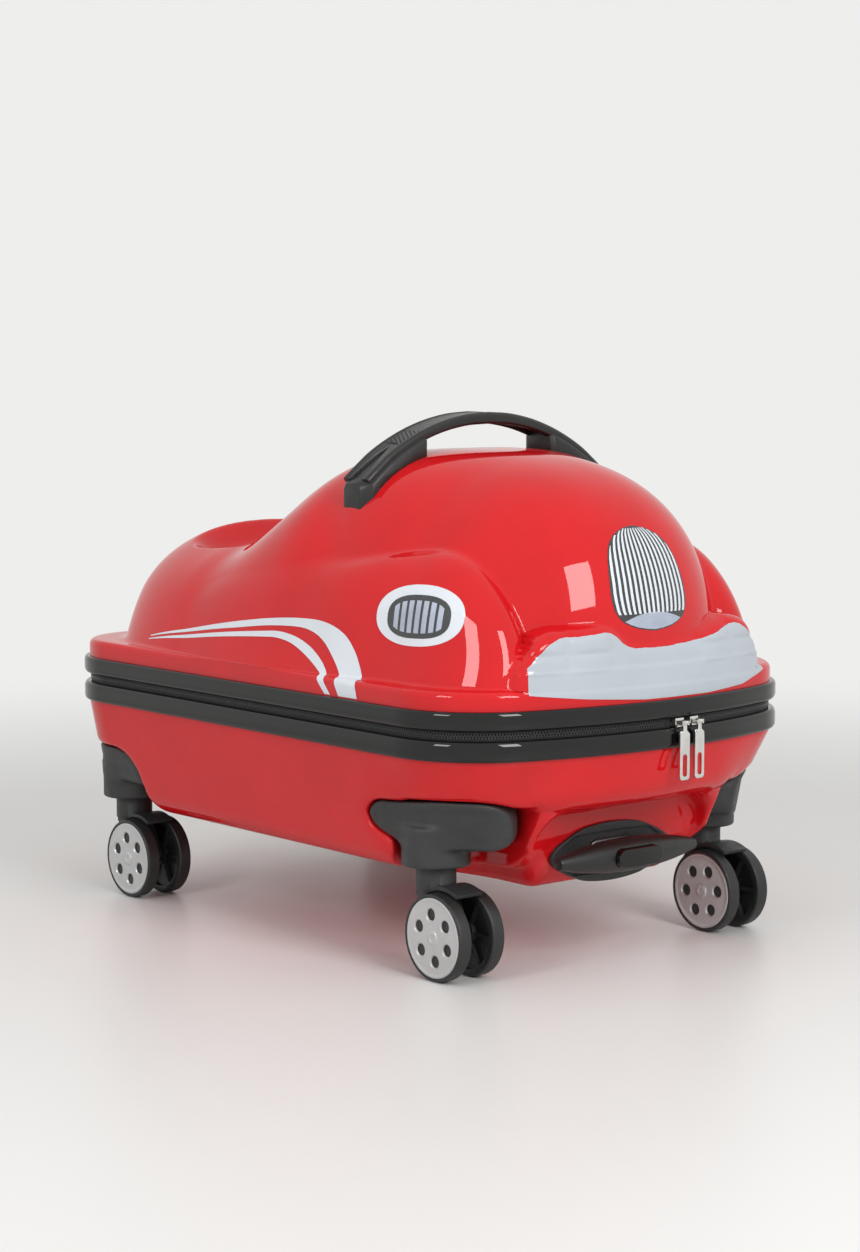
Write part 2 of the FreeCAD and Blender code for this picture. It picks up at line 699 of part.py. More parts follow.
def solve(matrix, rows):
    """Gauss elimination; each row on the right-hand side is a list of vectors."""
    size = len(matrix)
    for i in range(size):
        for k in range(i + 1, size):
            factor = matrix[k][i] / matrix[i][i]
            if factor:
                matrix[k] = [a - factor * b for a, b in zip(matrix[k], matrix[i])]
                rows[k] = [p - q * factor for p, q in zip(rows[k], rows[i])]
    for i in reversed(range(size)):
        for k in range(i + 1, size):
            if matrix[i][k]:
                rows[i] = [p - q * matrix[i][k] for p, q in zip(rows[i], rows[k])]
        rows[i] = [p * (1 / matrix[i][i]) for p in rows[i]]
    return rows


def cubic_basis(index, place, knots, degree=3):
    """Value of one B-spline at a place, by the usual recursion."""
    if degree == 0:
        last = place == knots[-1] and knots[index] < place == knots[index + 1]
        return 1.0 if knots[index] <= place < knots[index + 1] or last else 0.0
    total = 0.0
    for shift, sign in ((0, 1), (1, -1)):
        start, end = knots[index + shift], knots[index + shift + degree]
        if end > start:
            share = (place - start if sign > 0 else end - place) / (end - start)
            total += share * cubic_basis(index + shift, place, knots, degree - 1)
    return total


def smooth_face(grid):
    """Cubic surface through a grid of points: closed along the first index, open along the second."""
    turns, climbs = len(grid), len(grid[0])
    ring = [[0.0] * turns for _ in range(turns)]
    for i in range(turns):
        ring[i][i] = 4 / 6
        ring[i][i - 1] = ring[i][(i + 1) % turns] = 1 / 6
    poles = solve(ring, [list(column) for column in grid])
    inner = [j + 2.0 for j in range(climbs - 4)]
    steps = [0.0] + inner + [climbs - 1.0]
    knots = [steps[0]] * 3 + steps + [steps[-1]] * 3
    fit = [[cubic_basis(k, float(j), knots) for k in range(climbs)] for j in range(climbs)]
    rows = solve(fit, [[column[j] for column in poles] for j in range(climbs)])
    poles = [[rows[j][i] for j in range(climbs)] for i in range(turns)]
    surface = Part.BSplineSurface()
    surface.buildFromPolesMultsKnots(poles, [1] * (turns + 1), [4] + [1] * len(inner) + [4],
                                     [float(i) for i in range(turns + 1)], steps, True, False, 3, 3)
    return surface.toShape()


def body_skin(inset):
    """Car body's skin as one face, moved in from the outside, with its flat closed edge."""
    half = TURNS // 2
    columns = []
    for i in range(half + 1):
        turn = math.pi * i / half
        columns.append([body_point(turn, math.pi / 2 * j / CLIMBS, inset) for j in range(CLIMBS + 1)])
    columns += [[V(-p.x, p.y, p.z) for p in column] for column in columns[-2:0:-1]]
    face = smooth_face(columns)
    height = LEDGE.value - inset
    rim = [e for e in face.Edges if max(abs(v.Z - height) for v in e.Vertexes) < 1e-3 and e.Length > 1]
    return face, Part.Wire(rim[:1])


def flat_outline(inset, height):
    """Plan outline as a wire at one height, with the same corners as the sketches."""
    points, arcs = outline(as_size(inset))
    places = [V(x.value, y.value, height) for x, y in points]
    edges = []
    for i, p in enumerate(places):
        q = places[(i + 1) % len(places)]
        if i in arcs:
            flat = arc_between(V(p.x, p.y, 0), V(q.x, q.y, 0), as_size(arcs[i]).value)
            edge = flat.toShape()
            edge.translate(V(0, 0, height))
        else:
            edge = Part.LineSegment(p, q).toShape()
        edges.append(edge)
    return Part.Wire(edges)


def wall_between(wire, height):
    return wire.extrude(V(0, 0, height)).Faces


def closed_solid(faces):
    shell = Part.makeShell(faces)
    shell.sewShape(1e-3)
    solid = Part.Solid(Part.Shell(shell.Faces))
    if solid.Volume < 0:
        solid.reverse()
    return solid


def feature(label, shape):
    obj = doc.addObject("Part::Feature", label)
    obj.Shape = shape
    return obj


def ring_face(outer, inner):
    return Part.makeFace([outer, inner], "Part::FaceMakerBullseye").Faces


def lid_blank():
    """Lid shell before its holes are drilled: car body, ledge and flange, one wall thick."""
    bottom = UPPER_SHELL_BOTTOM.value
    faces, feet = [], []
    for inset in (0.0, num("wall")):
        top = LEDGE.value - inset
        edge = num("flange_inset") + inset
        skin, rim = body_skin(inset)
        foot = flat_outline(edge, bottom)
        feet.append(foot)
        faces += [skin] + ring_face(flat_outline(edge, top), rim) + wall_between(foot, top - bottom)
    return closed_solid(faces + ring_face(*feet))


def body_solid(inset):
    face, rim = body_skin(inset)
    return closed_solid([face, Part.Face(rim)])


car_outside = body_solid(0.0)
car_inside = body_solid(num("wall"))
shell_blank = feature("upper_shell_blank", lid_blank())
lining_inset = num("wall") + num("plate_thickness") + 2 * num("fit_gap")
lining_skins = [feature(f"lining_upper_{name}", body_solid(lining_inset + extra))
                for name, extra in (("outside", 0.0), ("inside", num("lining_thickness")))]
keep(cut("lining_upper", *lining_skins), "lining_upper")


# Carry handle
def make_carry_handle():
    front = D["handle_middle"] + D["handle_depth"] / 2
    grip = new_body("carry_grip")
    half, drop, strap = D["handle_half_span"], D["handle_drop"], D["handle_strap"]
    top = HANDLE_TOP
    outer = (half * half + drop * drop) / (2 * drop)
    points = [(-half, top - drop - strap), (0, top - strap), (half, top - drop - strap),
              (half, top - drop), (0, top), (-half, top - drop)]
    arcs = {0: -outer, 1: -outer, 3: outer, 4: outer}
    pad(grip, profile(grip, "XZ_Plane", (points, arcs), offset=front - D["handle_depth"]), D["handle_depth"])
    keep(grip, "carry_grip")

    lifted = feature("car_outside_lifted", car_outside.copy())
    place(lifted, 0, 0, D["fit_gap"])
    sunk = feature("car_inside_lowered", car_inside.copy())
    place(sunk, 0, 0, -D["fit_gap"])
    sunk_again = feature("car_inside_lowered_twice", car_inside.copy())
    place(sunk_again, 0, 0, -D["fit_gap"] - D["plate_thickness"])
    room_points = [(-half - D["fit_gap"], top - drop - strap - D["fit_gap"]),
                   (0, top - strap - D["fit_gap"]),
                   (half + D["fit_gap"], top - drop - strap - D["fit_gap"]),
                   (half + D["fit_gap"], top - drop + D["fit_gap"]),
                   (0, top + D["fit_gap"]),
                   (-half - D["fit_gap"], top - drop + D["fit_gap"])]
    room = new_body("carry_grip_room")
    room_depth = D["handle_depth"] + 2 * D["fit_gap"]
    pad(room, profile(room, "XZ_Plane", (room_points, arcs), offset=front - D["handle_depth"] - D["fit_gap"]),
        room_depth)

    holes = []
    screws = []
    plates = []
    middle = -D["handle_middle"]
    for side, name in ((-1, "left"), (1, "right")):
        body = new_body(f"carry_foot_{name}_block")
        inner, peak, outer_end = (side * D[s] for s in ("foot_inner", "foot_peak", "foot_outer"))
        corners = [(inner, FOOT_ROOT), (inner, ROOF + D["foot_inner_rise"]),
                   (peak, ROOF + D["foot_peak_rise"]), (outer_end, ROOF - D["foot_outer_drop"]),
                   (outer_end, FOOT_ROOT)]
        foot_rear = D["handle_middle"] - D["foot_depth"] / 2
        pad(body, profile(body, "XZ_Plane", (corners, {}), offset=foot_rear), D["foot_depth"])
        tools = [lifted, room]
        for place_name in ("screw_inner", "screw_outer"):
            x = side * D[place_name]
            label = f"{name}_{place_name}"
            skin = roof_height(x.value, -num("handle_middle"))
            low = as_size(skin) - D["wall"] - D["plate_thickness"] - D["fit_gap"]
            screws.append(post(f"{label}_shank", D["screw_radius"], x, middle, low, low + D["screw_length"]))
            hole = post(f"{label}_hole", D["screw_radius"] + D["press_gap"], x, middle,
                        low - D["screw_length"], low + D["screw_length"] + D["press_gap"])
            holes.append(hole)
            tools.append(hole)
        keep(cut(f"carry_foot_{name}", body, *tools), f"carry_foot_{name}")
        near, far = (side * D[s] for s in ("plate_inner", "plate_outer"))
        x0, x1 = (near, far) if side > 0 else (far, near)
        half_depth = D["foot_depth"] / 2
        column = box(f"plate_column_{name}", x0, x1, middle - half_depth, middle + half_depth,
                     FOOT_ROOT, ROOF)
        plates.append(cut(f"plate_{name}", common(f"plate_blank_{name}", column, sunk), sunk_again))
    keep(cut("handle_plates", fuse("handle_plates_blank", *plates), *holes), "handle_plates")
    keep(fuse("handle_screws", *screws), "handle_screws")
    keep(cut("upper_shell", shell_blank, *holes), "upper_shell")


def roof_height(x, y):
    """Height of the car body's skin above a point of the plan."""
    line = Part.makeLine(V(x, y, FOOT_ROOT.value), V(x, y, HANDLE_TOP.value))
    return line.common(car_outside).BoundBox.ZMax


make_carry_handle()


# Lower shell
CORNERS = [("fl", -1, -1), ("fr", 1, -1), ("rl", -1, 1), ("rr", 1, 1)]


def caster_place(side, end):
    return side * D["caster_x"], (-D["caster_front"] if end < 0 else D["caster_rear"])


def make_tub(label, grow):
    """Solid under the seam, moved in by a distance from the lower shell's outside."""
    body = new_body(label)
    inset = D["flange_inset"] + grow
    shoulder = LOWER_SHELL_TOP - D["tub_straight"]
    pad(body, profile(body, "XY_Plane", outline(inset), offset=shoulder), D["tub_straight"])
    upper = profile(body, "XY_Plane", outline(inset), offset=shoulder)
    bottom = D["tub_bottom"] + grow
    lower = profile(body, "XY_Plane", outline(inset + D["tub_draft"]), offset=bottom)
    loft = body.newObject("PartDesign::AdditiveLoft", f"{label}_loft")
    loft.Profile = upper
    loft.Sections = [lower]
    loft.Ruled = True
    round_edges_at_height(body, loft, bottom, D["tub_round"] - grow)
    return body


def make_rear_pocket(label, side, grow):
    x, y = caster_place(side, 1)
    sizes = {"Radius1": D["rear_pocket_low"] + grow, "Radius2": D["rear_pocket_top"] + grow,
             "Height": D["pocket_top"] + grow - D["tub_bottom"] + D["tub_round"]}
    return primitive("Cone", label, sizes, x, y, D["tub_bottom"] - D["tub_round"])


def turned(label, corners, x, y):
    """Solid turned about an upright axis, from its half section."""
    body = new_body(label)
    revolve(body, profile(body, "XZ_Plane", (corners, {})), "V_Axis")
    return place(body, x, y, 0)


def make_front_pocket(label, side, grow):
    x, y = caster_place(side, -1)
    throat, wide = D["pocket_throat"] + grow, D["front_pocket_top"] + grow
    low, top = D["tub_bottom"] - D["tub_round"], D["pocket_top"] + grow
    flare_low, flare_high = (D["boss_bottom"] + D[name] - grow / 2 for name in ("flare_low", "flare_high"))
    corners = [(0, low), (throat, low), (throat, flare_low), (wide, flare_high), (wide, top), (0, top)]
    return turned(label, corners, x, y)


def make_lobe(label, side, grow):
    """Part of a front pocket that runs round the shell's corner."""
    x, y = caster_place(side, -1)
    low = D["boss_bottom"] + D["lobe_bottom"] - grow
    sizes = {"Radius1": D["lobe_low"] + grow, "Radius2": D["lobe_high"] + grow,
             "Height": D["pocket_top"] + D["lobe_lift"] + grow - low}
    return primitive("Cone", label, sizes, x + side * D["lobe_out"], y - D["lobe_ahead"], low)


def make_niche(label, grow):
    body = new_body(label)
    half = D["niche_half_width"] + grow
    low = D["keel_bottom"] - D["niche_top"]
    loop = rounded_box(-half, half, low, D["niche_top"] + grow, D["niche_round"])
    pad(body, profile(body, "XZ_Plane", loop, offset=D["niche_face"] - grow), HALF_LENGTH)
    return body


def make_keel(label, grow):
    body = new_body(label)
    half = D["keel_half_width"] - grow
    front = -D["niche_face"] + grow - (D["niche_round"] if grow.value == 0 else 0)
    loop = rounded_box(-half, half, front, D["keel_rear"] - grow, D["keel_round"])
    bottom = D["keel_bottom"] + grow
    height = D["tub_bottom"] + D["tub_round"] - bottom
    block = pad(body, profile(body, "XY_Plane", loop, offset=bottom), height)
    round_edges_at_height(body, block, bottom, D["keel_round"] - grow)
    return body


def tub_cuts(label, grow):
    cuts = [make_niche(f"{label}_niche", grow)]
    for name, side, end in CORNERS:
        if end > 0:
            cuts.append(make_rear_pocket(f"{label}_pocket_{name}", side, grow))
        else:
            cuts.append(make_front_pocket(f"{label}_pocket_{name}", side, grow))
            cuts.append(make_lobe(f"{label}_lobe_{name}", side, grow))
    return cuts


def tube_sizes(stage):
    """Half width and half depth of the pole's tubes: 0 inner, 1 middle, 2 outer."""
    step = stage * (D["tube_wall"] + D["tube_gap"])
    return D["pole_half_width"] + step, D["pole_half_depth"] + step


def rivet_places(side, end):
    x, y = caster_place(side, end)
    return [(x - side * D["rivet_x"], y + k * D["rivet_y"]) for k in (-1, 1)]


def make_lower_shell():
    nothing = as_size(0)
    outer_tub = make_tub("tub_outer", nothing)
    outside = cut("lower_outside", fuse("lower_outside_blank", outer_tub, make_keel("keel_outer", nothing)),
                  *tub_cuts("outer", nothing))
    wall = D["wall"]
    inside = cut("lower_inside", make_tub("tub_inner", wall), *tub_cuts("inner", wall))
    inside = fuse("lower_inside_with_keel", inside, make_keel("keel_inner", wall))
    half_width, half_depth = tube_sizes(2)
    slot = new_body("pole_slot")
    loop = stadium(half_width + D["fit_gap"], half_depth + D["fit_gap"], D["pole_height"])
    pad(slot, profile(slot, "XZ_Plane", loop, offset=D["niche_face"] - 2 * wall), 3 * wall)
    holes = []
    rivets = []
    top = D["pocket_top"] + wall
    for name, side, end in CORNERS:
        for k, (x, y) in enumerate(rivet_places(side, end)):
            low = top - D["rivet_length"]
            rivets.append(post(f"rivet_{name}_{k}", D["rivet_radius"], x, y, low, top))
            holes.append(post(f"rivet_hole_{name}_{k}", D["rivet_radius"] + D["press_gap"], x, y,
                              low - D["press_gap"], top + D["lining_gap"]))
    keep(fuse("housing_rivets", *rivets), "housing_rivets")
    keep(cut("lower_shell", outside, inside, slot, *holes), "lower_shell")
    return outer_tub, holes


def make_lower_lining():
    layers = []
    half_width, half_depth = tube_sizes(2)
    for k in (0, 1):
        grow = D["wall"] + D["lining_gap"] + k * D["lining_thickness"]
        extra = D["hump_gap"] + k * D["lining_thickness"]
        hump = box(f"hump_{k}", -half_width - extra, half_width + extra, -D["case_length"], D["case_length"],
                   D["keel_bottom"], D["pole_height"] + half_depth + extra)
        tub = make_tub(f"tub_lining_{k}", grow)
        layers.append(cut(f"lining_layer_{k}", tub, hump, *tub_cuts(f"lining_{k}", grow)))
    blank = cut("lining_lower_blank", *layers)
    room = new_body("lining_rim_room")
    depth = LOWER_SHELL_TOP - D["rim_bottom"] + D["lining_gap"]
    reach = D["flange_inset"] + D["wall"] + D["fit_gap"] + D["rim_inner_skin"] + D["lining_gap"]
    pad(room, profile(room, "XY_Plane", outline(as_size(0)), outline(reach),
                      offset=D["rim_bottom"] - D["lining_gap"]), depth + D["lining_gap"])
    return keep(cut("lining_lower", blank, room), "lining_lower")


def make_studs():
    studs = []
    for side in (-1, 1):
        for y in (-D["stud_front"], D["stud_rear"]):
            studs.append(post("stud", D["stud_radius"], side * D["stud_x"], y,
                              D["tub_bottom"] - D["stud_height"], D["tub_bottom"]))
    keep(fuse("base_studs", *studs), "base_studs")


tub_outside, rivet_holes = make_lower_shell()
make_lower_lining()
make_studs()


# Casters
def make_housing(name, side, end):
    x, y = caster_place(side, end)
    brim = D["front_pocket_top" if end < 0 else "rear_pocket_top"] - 2 * D["fit_gap"]
    roof = D["pocket_top"] - D["fit_gap"]
    plain_top = D["boss_bottom"] + D["boss_height"]
    boss_edge = D["boss_radius"]
    if end < 0:
        low, high = (D["boss_bottom"] + D[name] + D["fit_gap"] for name in ("flare_low", "flare_high"))
        flank = [(boss_edge, low), (brim, high)]
    else:
        low = plain_top
        flank = [(boss_edge, low), ((boss_edge + brim) / 2, (low + 2 * roof) / 3), (brim, roof - D["fit_gap"])]
    bell = turned(f"bell_{name}", [(0, low)] + flank + [(brim, roof), (0, roof)], x, y)
    if end < 0:
        bell = fuse(f"bell_with_lobe_{name}", bell, make_lobe(f"lobe_{name}", side, -2 * D["fit_gap"]))
    trimmed = common(f"bell_trimmed_{name}", bell, tub_outside)
    boss = post(f"boss_{name}", D["boss_radius"], x, y, D["boss_bottom"], plain_top + D["boss_height"] / 3)
    bore = post(f"pin_bore_{name}", D["pin_radius"] + D["press_gap"], x, y, D["boss_bottom"] - D["overrun"],
                D["pin_top"] + D["press_gap"])
    own_holes = [hole for hole in rivet_holes if hole.Label.startswith(f"rivet_hole_{name}")]
    label = f"caster_housing_{name}"
    return keep(cut(label, fuse(f"{label}_blank", trimmed, boss), bore, *own_holes), label)


def make_pins():
    pins = []
    for name, side, end in CORNERS:
        x, y = caster_place(side, end)
        low = D["pin_head_bottom"]
        head = post(f"pin_head_{name}", D["pin_head_radius"], x, y, low, low + D["pin_head_height"])
        shank = post(f"pin_shank_{name}", D["pin_radius"], x, y, low, D["pin_top"])
        pins.append(fuse(f"pin_{name}", head, shank))
    keep(fuse("swivel_pins", *pins), "swivel_pins")


def make_fork(name, x, y):
    body = new_body(f"fork_leg_{name}")
    trail, axle_z = D["trail"], D["wheel_radius"]
    neck, boss = D["neck_radius"], D["hub_boss"]
    edge = neck - D["leg_step"]
    low = D["neck_bottom"]
    corners = [(edge, low + D["leg_root"]), (edge, low - D["leg_back"]), (-trail + boss, axle_z - boss / 3),
               (-trail, axle_z - boss), (-trail - boss, axle_z), (-neck, low), (-edge, low + D["leg_root"])]
    half = D["leg_thickness"] / 2
    pad(body, profile(body, "YZ_Plane", (corners, {}), offset=-half), D["leg_thickness"])
    place(body, x, y, 0)
    neck_post = post(f"fork_neck_{name}", neck, x, y, D["neck_bottom"], D["boss_bottom"] - D["slip_gap"])
    inner = D["wheel_radius"] + D["hood_gap"]
    hood = new_body(f"fork_hood_{name}")
    outer = inner + D["hood_thickness"]
    hood_angle = math.radians(num("hood_angle"))
    cos, sin = math.cos(hood_angle), math.sin(hood_angle)
    loop = ([(-trail + outer * cos, axle_z + outer * sin), (-trail, axle_z + outer),
             (-trail - outer * sin, axle_z + outer * cos), (-trail - inner * sin, axle_z + inner * cos),
             (-trail, axle_z + inner), (-trail + inner * cos, axle_z + inner * sin)],
            {0: outer, 1: outer, 3: -inner, 4: -inner})
    pad(hood, profile(hood, "YZ_Plane", loop, offset=-D["hood_width"] / 2), D["hood_width"])
    place(hood, x, y, 0)
    bore = post(f"fork_bore_{name}", D["pin_radius"] + D["run_gap"], x, y, D["neck_bottom"], D["boss_bottom"])
    head_top = D["pin_head_bottom"] + D["pin_head_height"] + D["slip_gap"]
    head_room = post(f"fork_head_room_{name}", D["pin_head_radius"] + D["slip_gap"], x, y,
                     D["pin_head_bottom"] - D["slip_gap"], head_top)
    over = half + D["overrun"]
    eye = rod_along_x(f"fork_eye_{name}", D["axle_radius"] + D["press_gap"], x - over, x + over,
                      y - trail, axle_z)
    label = f"caster_fork_{name}"
    blank = fuse(f"{label}_blank", body, neck_post, hood)
    return keep(cut(label, blank, bore, head_room, eye), label)


def wheel_side_place(body, x, y, side):
    turn = 0 if side > 0 else 180
    return place(body, x, y - D["trail"], D["wheel_radius"], V(0, 0, 1), turn)


def make_wheel(label, x, y, side):
    """Wheel with its moulded tread; the axle lies along X and the open side faces the fork."""
    body = new_body(label)
    inner = D["wheel_gap"] / 2
    outer = inner + D["wheel_width"]
    rim, edge = D["wheel_radius"], D["wheel_edge"]
    bore = D["axle_radius"] + D["run_gap"]
    seat = D["cap_radius"] + D["fit_gap"]
    seat_x = outer - D["cap_thickness"] - D["fit_gap"]
    web = inner + D["wheel_recess"]
    dish = rim - D["tread_depth"]
    corners = [(inner, bore), (inner, D["hub_radius"]), (web, D["hub_radius"]), (web, dish), (inner, dish),
               (inner, rim - edge), (inner + edge, rim), (outer - edge, rim), (outer, rim - edge),
               (outer, seat), (seat_x, seat), (seat_x, bore)]
    sketch = profile(body, "XY_Plane", (corners, {5: -edge, 7: -edge}))
    revolve(body, sketch, "H_Axis")
    half = D["spoke_width"] / 2
    start, end = D["hub_radius"] - half, dish + half
    bar = ([(start, -half), (end, -half), (end, half), (start, half)], {})
    spoke = profile(body, "YZ_Plane", bar, offset=inner + D["spoke_width"] / 4)
    doc.recompute()
    polar(body, pad(body, spoke, D["wheel_recess"]), "X_Axis", D["spoke_count"])
    return keep(wheel_side_place(body, x, y, side), label)


def make_cap(label, x, y, side):
    body = new_body(label)
    outer = D["wheel_gap"] / 2 + D["wheel_width"]
    back = outer - D["cap_thickness"]
    boss = outer + D["cap_boss_height"]
    corners = [(back, 0), (back, D["cap_radius"]), (outer, D["cap_radius"]),
               (outer, D["cap_boss_radius"]), (boss, D["cap_boss_radius"]), (boss, 0)]
    sketch = profile(body, "XY_Plane", (corners, {}))
    revolve(body, sketch, "H_Axis")
    doc.recompute()
    radius, circle = D["cap_hole_radius"], D["cap_hole_circle"]
    hole = ([(circle - radius, 0), (circle, -radius), (circle + radius, 0), (circle, radius)],
            {0: radius, 1: radius, 2: radius, 3: radius})
    drill = pocket(body, profile(body, "YZ_Plane", hole, offset=boss), D["cap_thickness"] * 2)
    polar(body, drill, "X_Axis", D["spoke_count"])
    return keep(wheel_side_place(body, x, y, side), label)


for corner, corner_side, corner_end in CORNERS:
    axis_x, axis_y = caster_place(corner_side, corner_end)
    make_housing(corner, corner_side, corner_end)
    make_fork(corner, axis_x, axis_y)
    reach_x = D["wheel_gap"] / 2 + D["wheel_width"] - D["cap_thickness"] - D["slip_gap"]
    keep(rod_along_x(f"caster_axle_{corner}", D["axle_radius"], axis_x - reach_x, axis_x + reach_x,
                     axis_y - D["trail"], D["wheel_radius"]), f"caster_axle_{corner}")
    for wheel_side, wheel_name in ((-1, "left"), (1, "right")):
        make_wheel(f"wheel_{corner}_{wheel_name}", axis_x, axis_y, wheel_side)
        make_cap(f"wheel_cap_{corner}_{wheel_name}", axis_x, axis_y, wheel_side)
make_pins()


# Pull handle
def make_tube(label, stage, front, rear):
    half_width, half_depth = tube_sizes(stage)
    body = new_body(label)
    wall = D["tube_wall"]
    loops = (stadium(half_width, half_depth, D["pole_height"]),
             stadium(half_width - wall, half_depth - wall, D["pole_height"]))
    pad(body, profile(body, "XZ_Plane", *loops, offset=-rear), as_size(rear) + front)
    return keep(body, label)


def make_bezel():
    body = new_body("handle_bezel")
    half_width, half_depth = tube_sizes(1)
    gap = D["slip_gap"]
    mouth = stadium(half_width + gap, half_depth + gap, D["pole_height"])
    plate = stadium(D["bezel_half_width"], D["bezel_half_height"], D["pole_height"])
    pad(body, profile(body, "XZ_Plane", plate, mouth, offset=D["niche_face"]), D["bezel_thickness"])
    inset = D["bezel_well_inset"]
    well = stadium(D["bezel_half_width"] - inset, D["bezel_half_height"] - inset, D["pole_height"])
    front = D["niche_face"] + D["bezel_thickness"]
    pocket(body, profile(body, "XZ_Plane", well, offset=front), D["bezel_well_depth"])
    return keep(body, "handle_bezel")


GRIP_BACK = D["niche_face"] + D["bezel_thickness"] + D["grip_back"]
GRIP_AXIS = GRIP_BACK + D["grip_radius"]
BUTTON_FACE = GRIP_AXIS + D["grip_radius"] + D["button_stand"]
BUTTON_BACK = BUTTON_FACE - D["button_depth"]
TUBE_SOCKET = GRIP_BACK + D["grip_radius"] / 2
SPRING_SEAT = TUBE_SOCKET + D["spring_floor"]


def rod_to_front(label, radius, start, end):
    """Round bar on the pole's axis, between two distances forward of the middle."""
    sizes = {"Radius": radius, "Height": end - start}
    return primitive("Cylinder", label, sizes, 0, -start, D["pole_height"], V(1, 0, 0), 90)


def make_grip():
    body = new_body("grip_spindle")
    half, middle, end = D["grip_half_length"], D["grip_radius"], D["grip_end_radius"]
    sag = middle - end
    radius = (half * half + sag * sag) / (2 * sag)
    loop = ([(-half, 0), (half, 0), (half, end), (0, middle), (-half, end)], {2: radius, 3: radius})
    sketch = profile(body, "XY_Plane", loop)
    revolve(body, sketch, "H_Axis")
    place(body, 0, -GRIP_AXIS, D["pole_height"])
    gap = D["slip_gap"]
    half_width, half_depth = tube_sizes(0)
    socket = new_body("grip_socket")
    loop = stadium(half_width + D["fit_gap"], half_depth + D["fit_gap"], D["pole_height"])
    start = GRIP_BACK - D["overrun"]
    pad(socket, profile(socket, "XZ_Plane", loop, offset=start), TUBE_SOCKET - start)
    well = new_body("grip_button_well")
    loop = stadium(D["button_half_length"] + gap, D["button_half_height"] + gap, D["pole_height"])
    depth = D["button_travel"] + gap
    pad(well, profile(well, "XZ_Plane", loop, offset=BUTTON_BACK - depth), D["grip_radius"] + depth)
    chamber = rod_to_front("grip_spring_chamber", D["spring_radius"] + D["spring_wire"] + gap,
                           SPRING_SEAT, BUTTON_BACK)
    bore = rod_to_front("grip_rod_bore", D["rod_radius"] + gap, start, start + 2 * D["grip_radius"])
    return keep(cut("pull_grip", body, socket, well, chamber, bore), "pull_grip")


def make_button():
    body = new_body("button_plate")
    loop = stadium(D["button_half_length"], D["button_half_height"], D["pole_height"])
    pad(body, profile(body, "XZ_Plane", loop, offset=BUTTON_BACK), D["button_depth"])
    round_end = rod_to_front("button_rod_bore", D["rod_radius"] + D["press_gap"],
                             BUTTON_BACK, BUTTON_BACK + D["button_depth"] / 2)
    return keep(cut("push_button", body, round_end), "push_button")


def make_release_rod():
    front = BUTTON_BACK + D["button_depth"] / 2 - D["press_gap"]
    rear = D["inner_tube_rear"] - D["end_block_length"]
    keep(rod_to_front("release_rod", D["rod_radius"], -rear, front), "release_rod")


def make_spring():
    """One unbroken wire round the release rod, between the grip and the button."""
    gap = num("slip_gap")
    low = SPRING_SEAT.value + gap + num("spring_wire")
    high = BUTTON_BACK.value - gap - num("spring_wire")
    turns = num("spring_turns")
    pitch = (high - low) / turns
    helix = Part.makeHelix(pitch, high - low, num("spring_radius"))
    start = helix.Edges[0].Vertexes[0].Point
    tangent = helix.Edges[0].tangentAt(helix.Edges[0].FirstParameter)
    section = Part.Wire(Part.makeCircle(num("spring_wire"), start, tangent))
    wire = Part.Wire(helix.Edges).makePipeShell([section], True, True)
    print("spring: least gap between turns", round(pitch - 2 * num("spring_wire"), 2))
    obj = keep(feature("button_spring", wire), "button_spring")
    obj.Placement = FreeCAD.Placement(V(0, -low, num("pole_height")), FreeCAD.Rotation(V(1, 0, 0), 90))


def make_end_block():
    half_width, half_depth = tube_sizes(2)
    floor = D["keel_bottom"] + D["wall"] + D["fit_gap"]
    rear = D["outer_tube_rear"]
    block = box("end_block_blank", -half_width - D["tube_wall"], half_width + D["tube_wall"],
                rear - D["end_block_length"], rear, floor, D["pole_height"] + half_depth + D["tube_wall"])
    room = new_body("end_block_room")
    gap = D["fit_gap"]
    pad(room, profile(room, "XZ_Plane", stadium(half_width + gap, half_depth + gap, D["pole_height"]),
                      offset=-rear - D["overrun"]), D["end_block_length"] + 2 * D["overrun"])
    keep(cut("pole_end_block", block, room), "pole_end_block")


make_bezel()
make_tube("pole_outer_tube", 2, D["niche_face"], D["outer_tube_rear"])
make_tube("pole_middle_tube", 1, D["niche_face"] + D["bezel_thickness"], D["middle_tube_rear"])
make_tube("pole_inner_tube", 0, TUBE_SOCKET - D["fit_gap"], D["inner_tube_rear"])
make_end_block()
make_grip()
make_button()
make_release_rod()
make_spring()


# Zip sliders and pulls, drawn at the middle of the front and turned along the front arc
def along_front(obj, label, degrees):
    shape = feature(label, obj.Shape.copy())
    centre = V(0, BOW_CENTRE.value, 0)
    shape.Placement = FreeCAD.Placement(V(), FreeCAD.Rotation(V(0, 0, 1), degrees), centre)
    return keep(shape, label)


def make_slider():
    front = -HALF_LENGTH
    gap = D["slip_gap"]
    half = D["slider_width"] / 2
    chain = front + D["zip_inset"] - gap
    block = box("slider_block", -half, half, chain - D["slider_depth"], chain,
                LOWER_RIM_TOP + gap, UPPER_RIM_BOTTOM - gap)
    pin_y = front - D["lug_reach"]
    lug_half = D["zip_gap"] / 2 - gap
    span = D["lug_span"] / 2
    lugs = []
    for side in (-1, 1):
        x0, x1 = (span - D["lug_width"], span) if side > 0 else (-span, D["lug_width"] - span)
        lugs.append(box(f"slider_lug_{side}", x0, x1, pin_y - lug_half / 2, chain - D["slider_depth"] / 2,
                        SEAM - lug_half / 2, SEAM + lug_half / 2))
    pin = rod_along_x("slider_pin", D["pull_pin_radius"], -span, span, pin_y, SEAM)
    return fuse("slider_master", block, pin, *lugs)


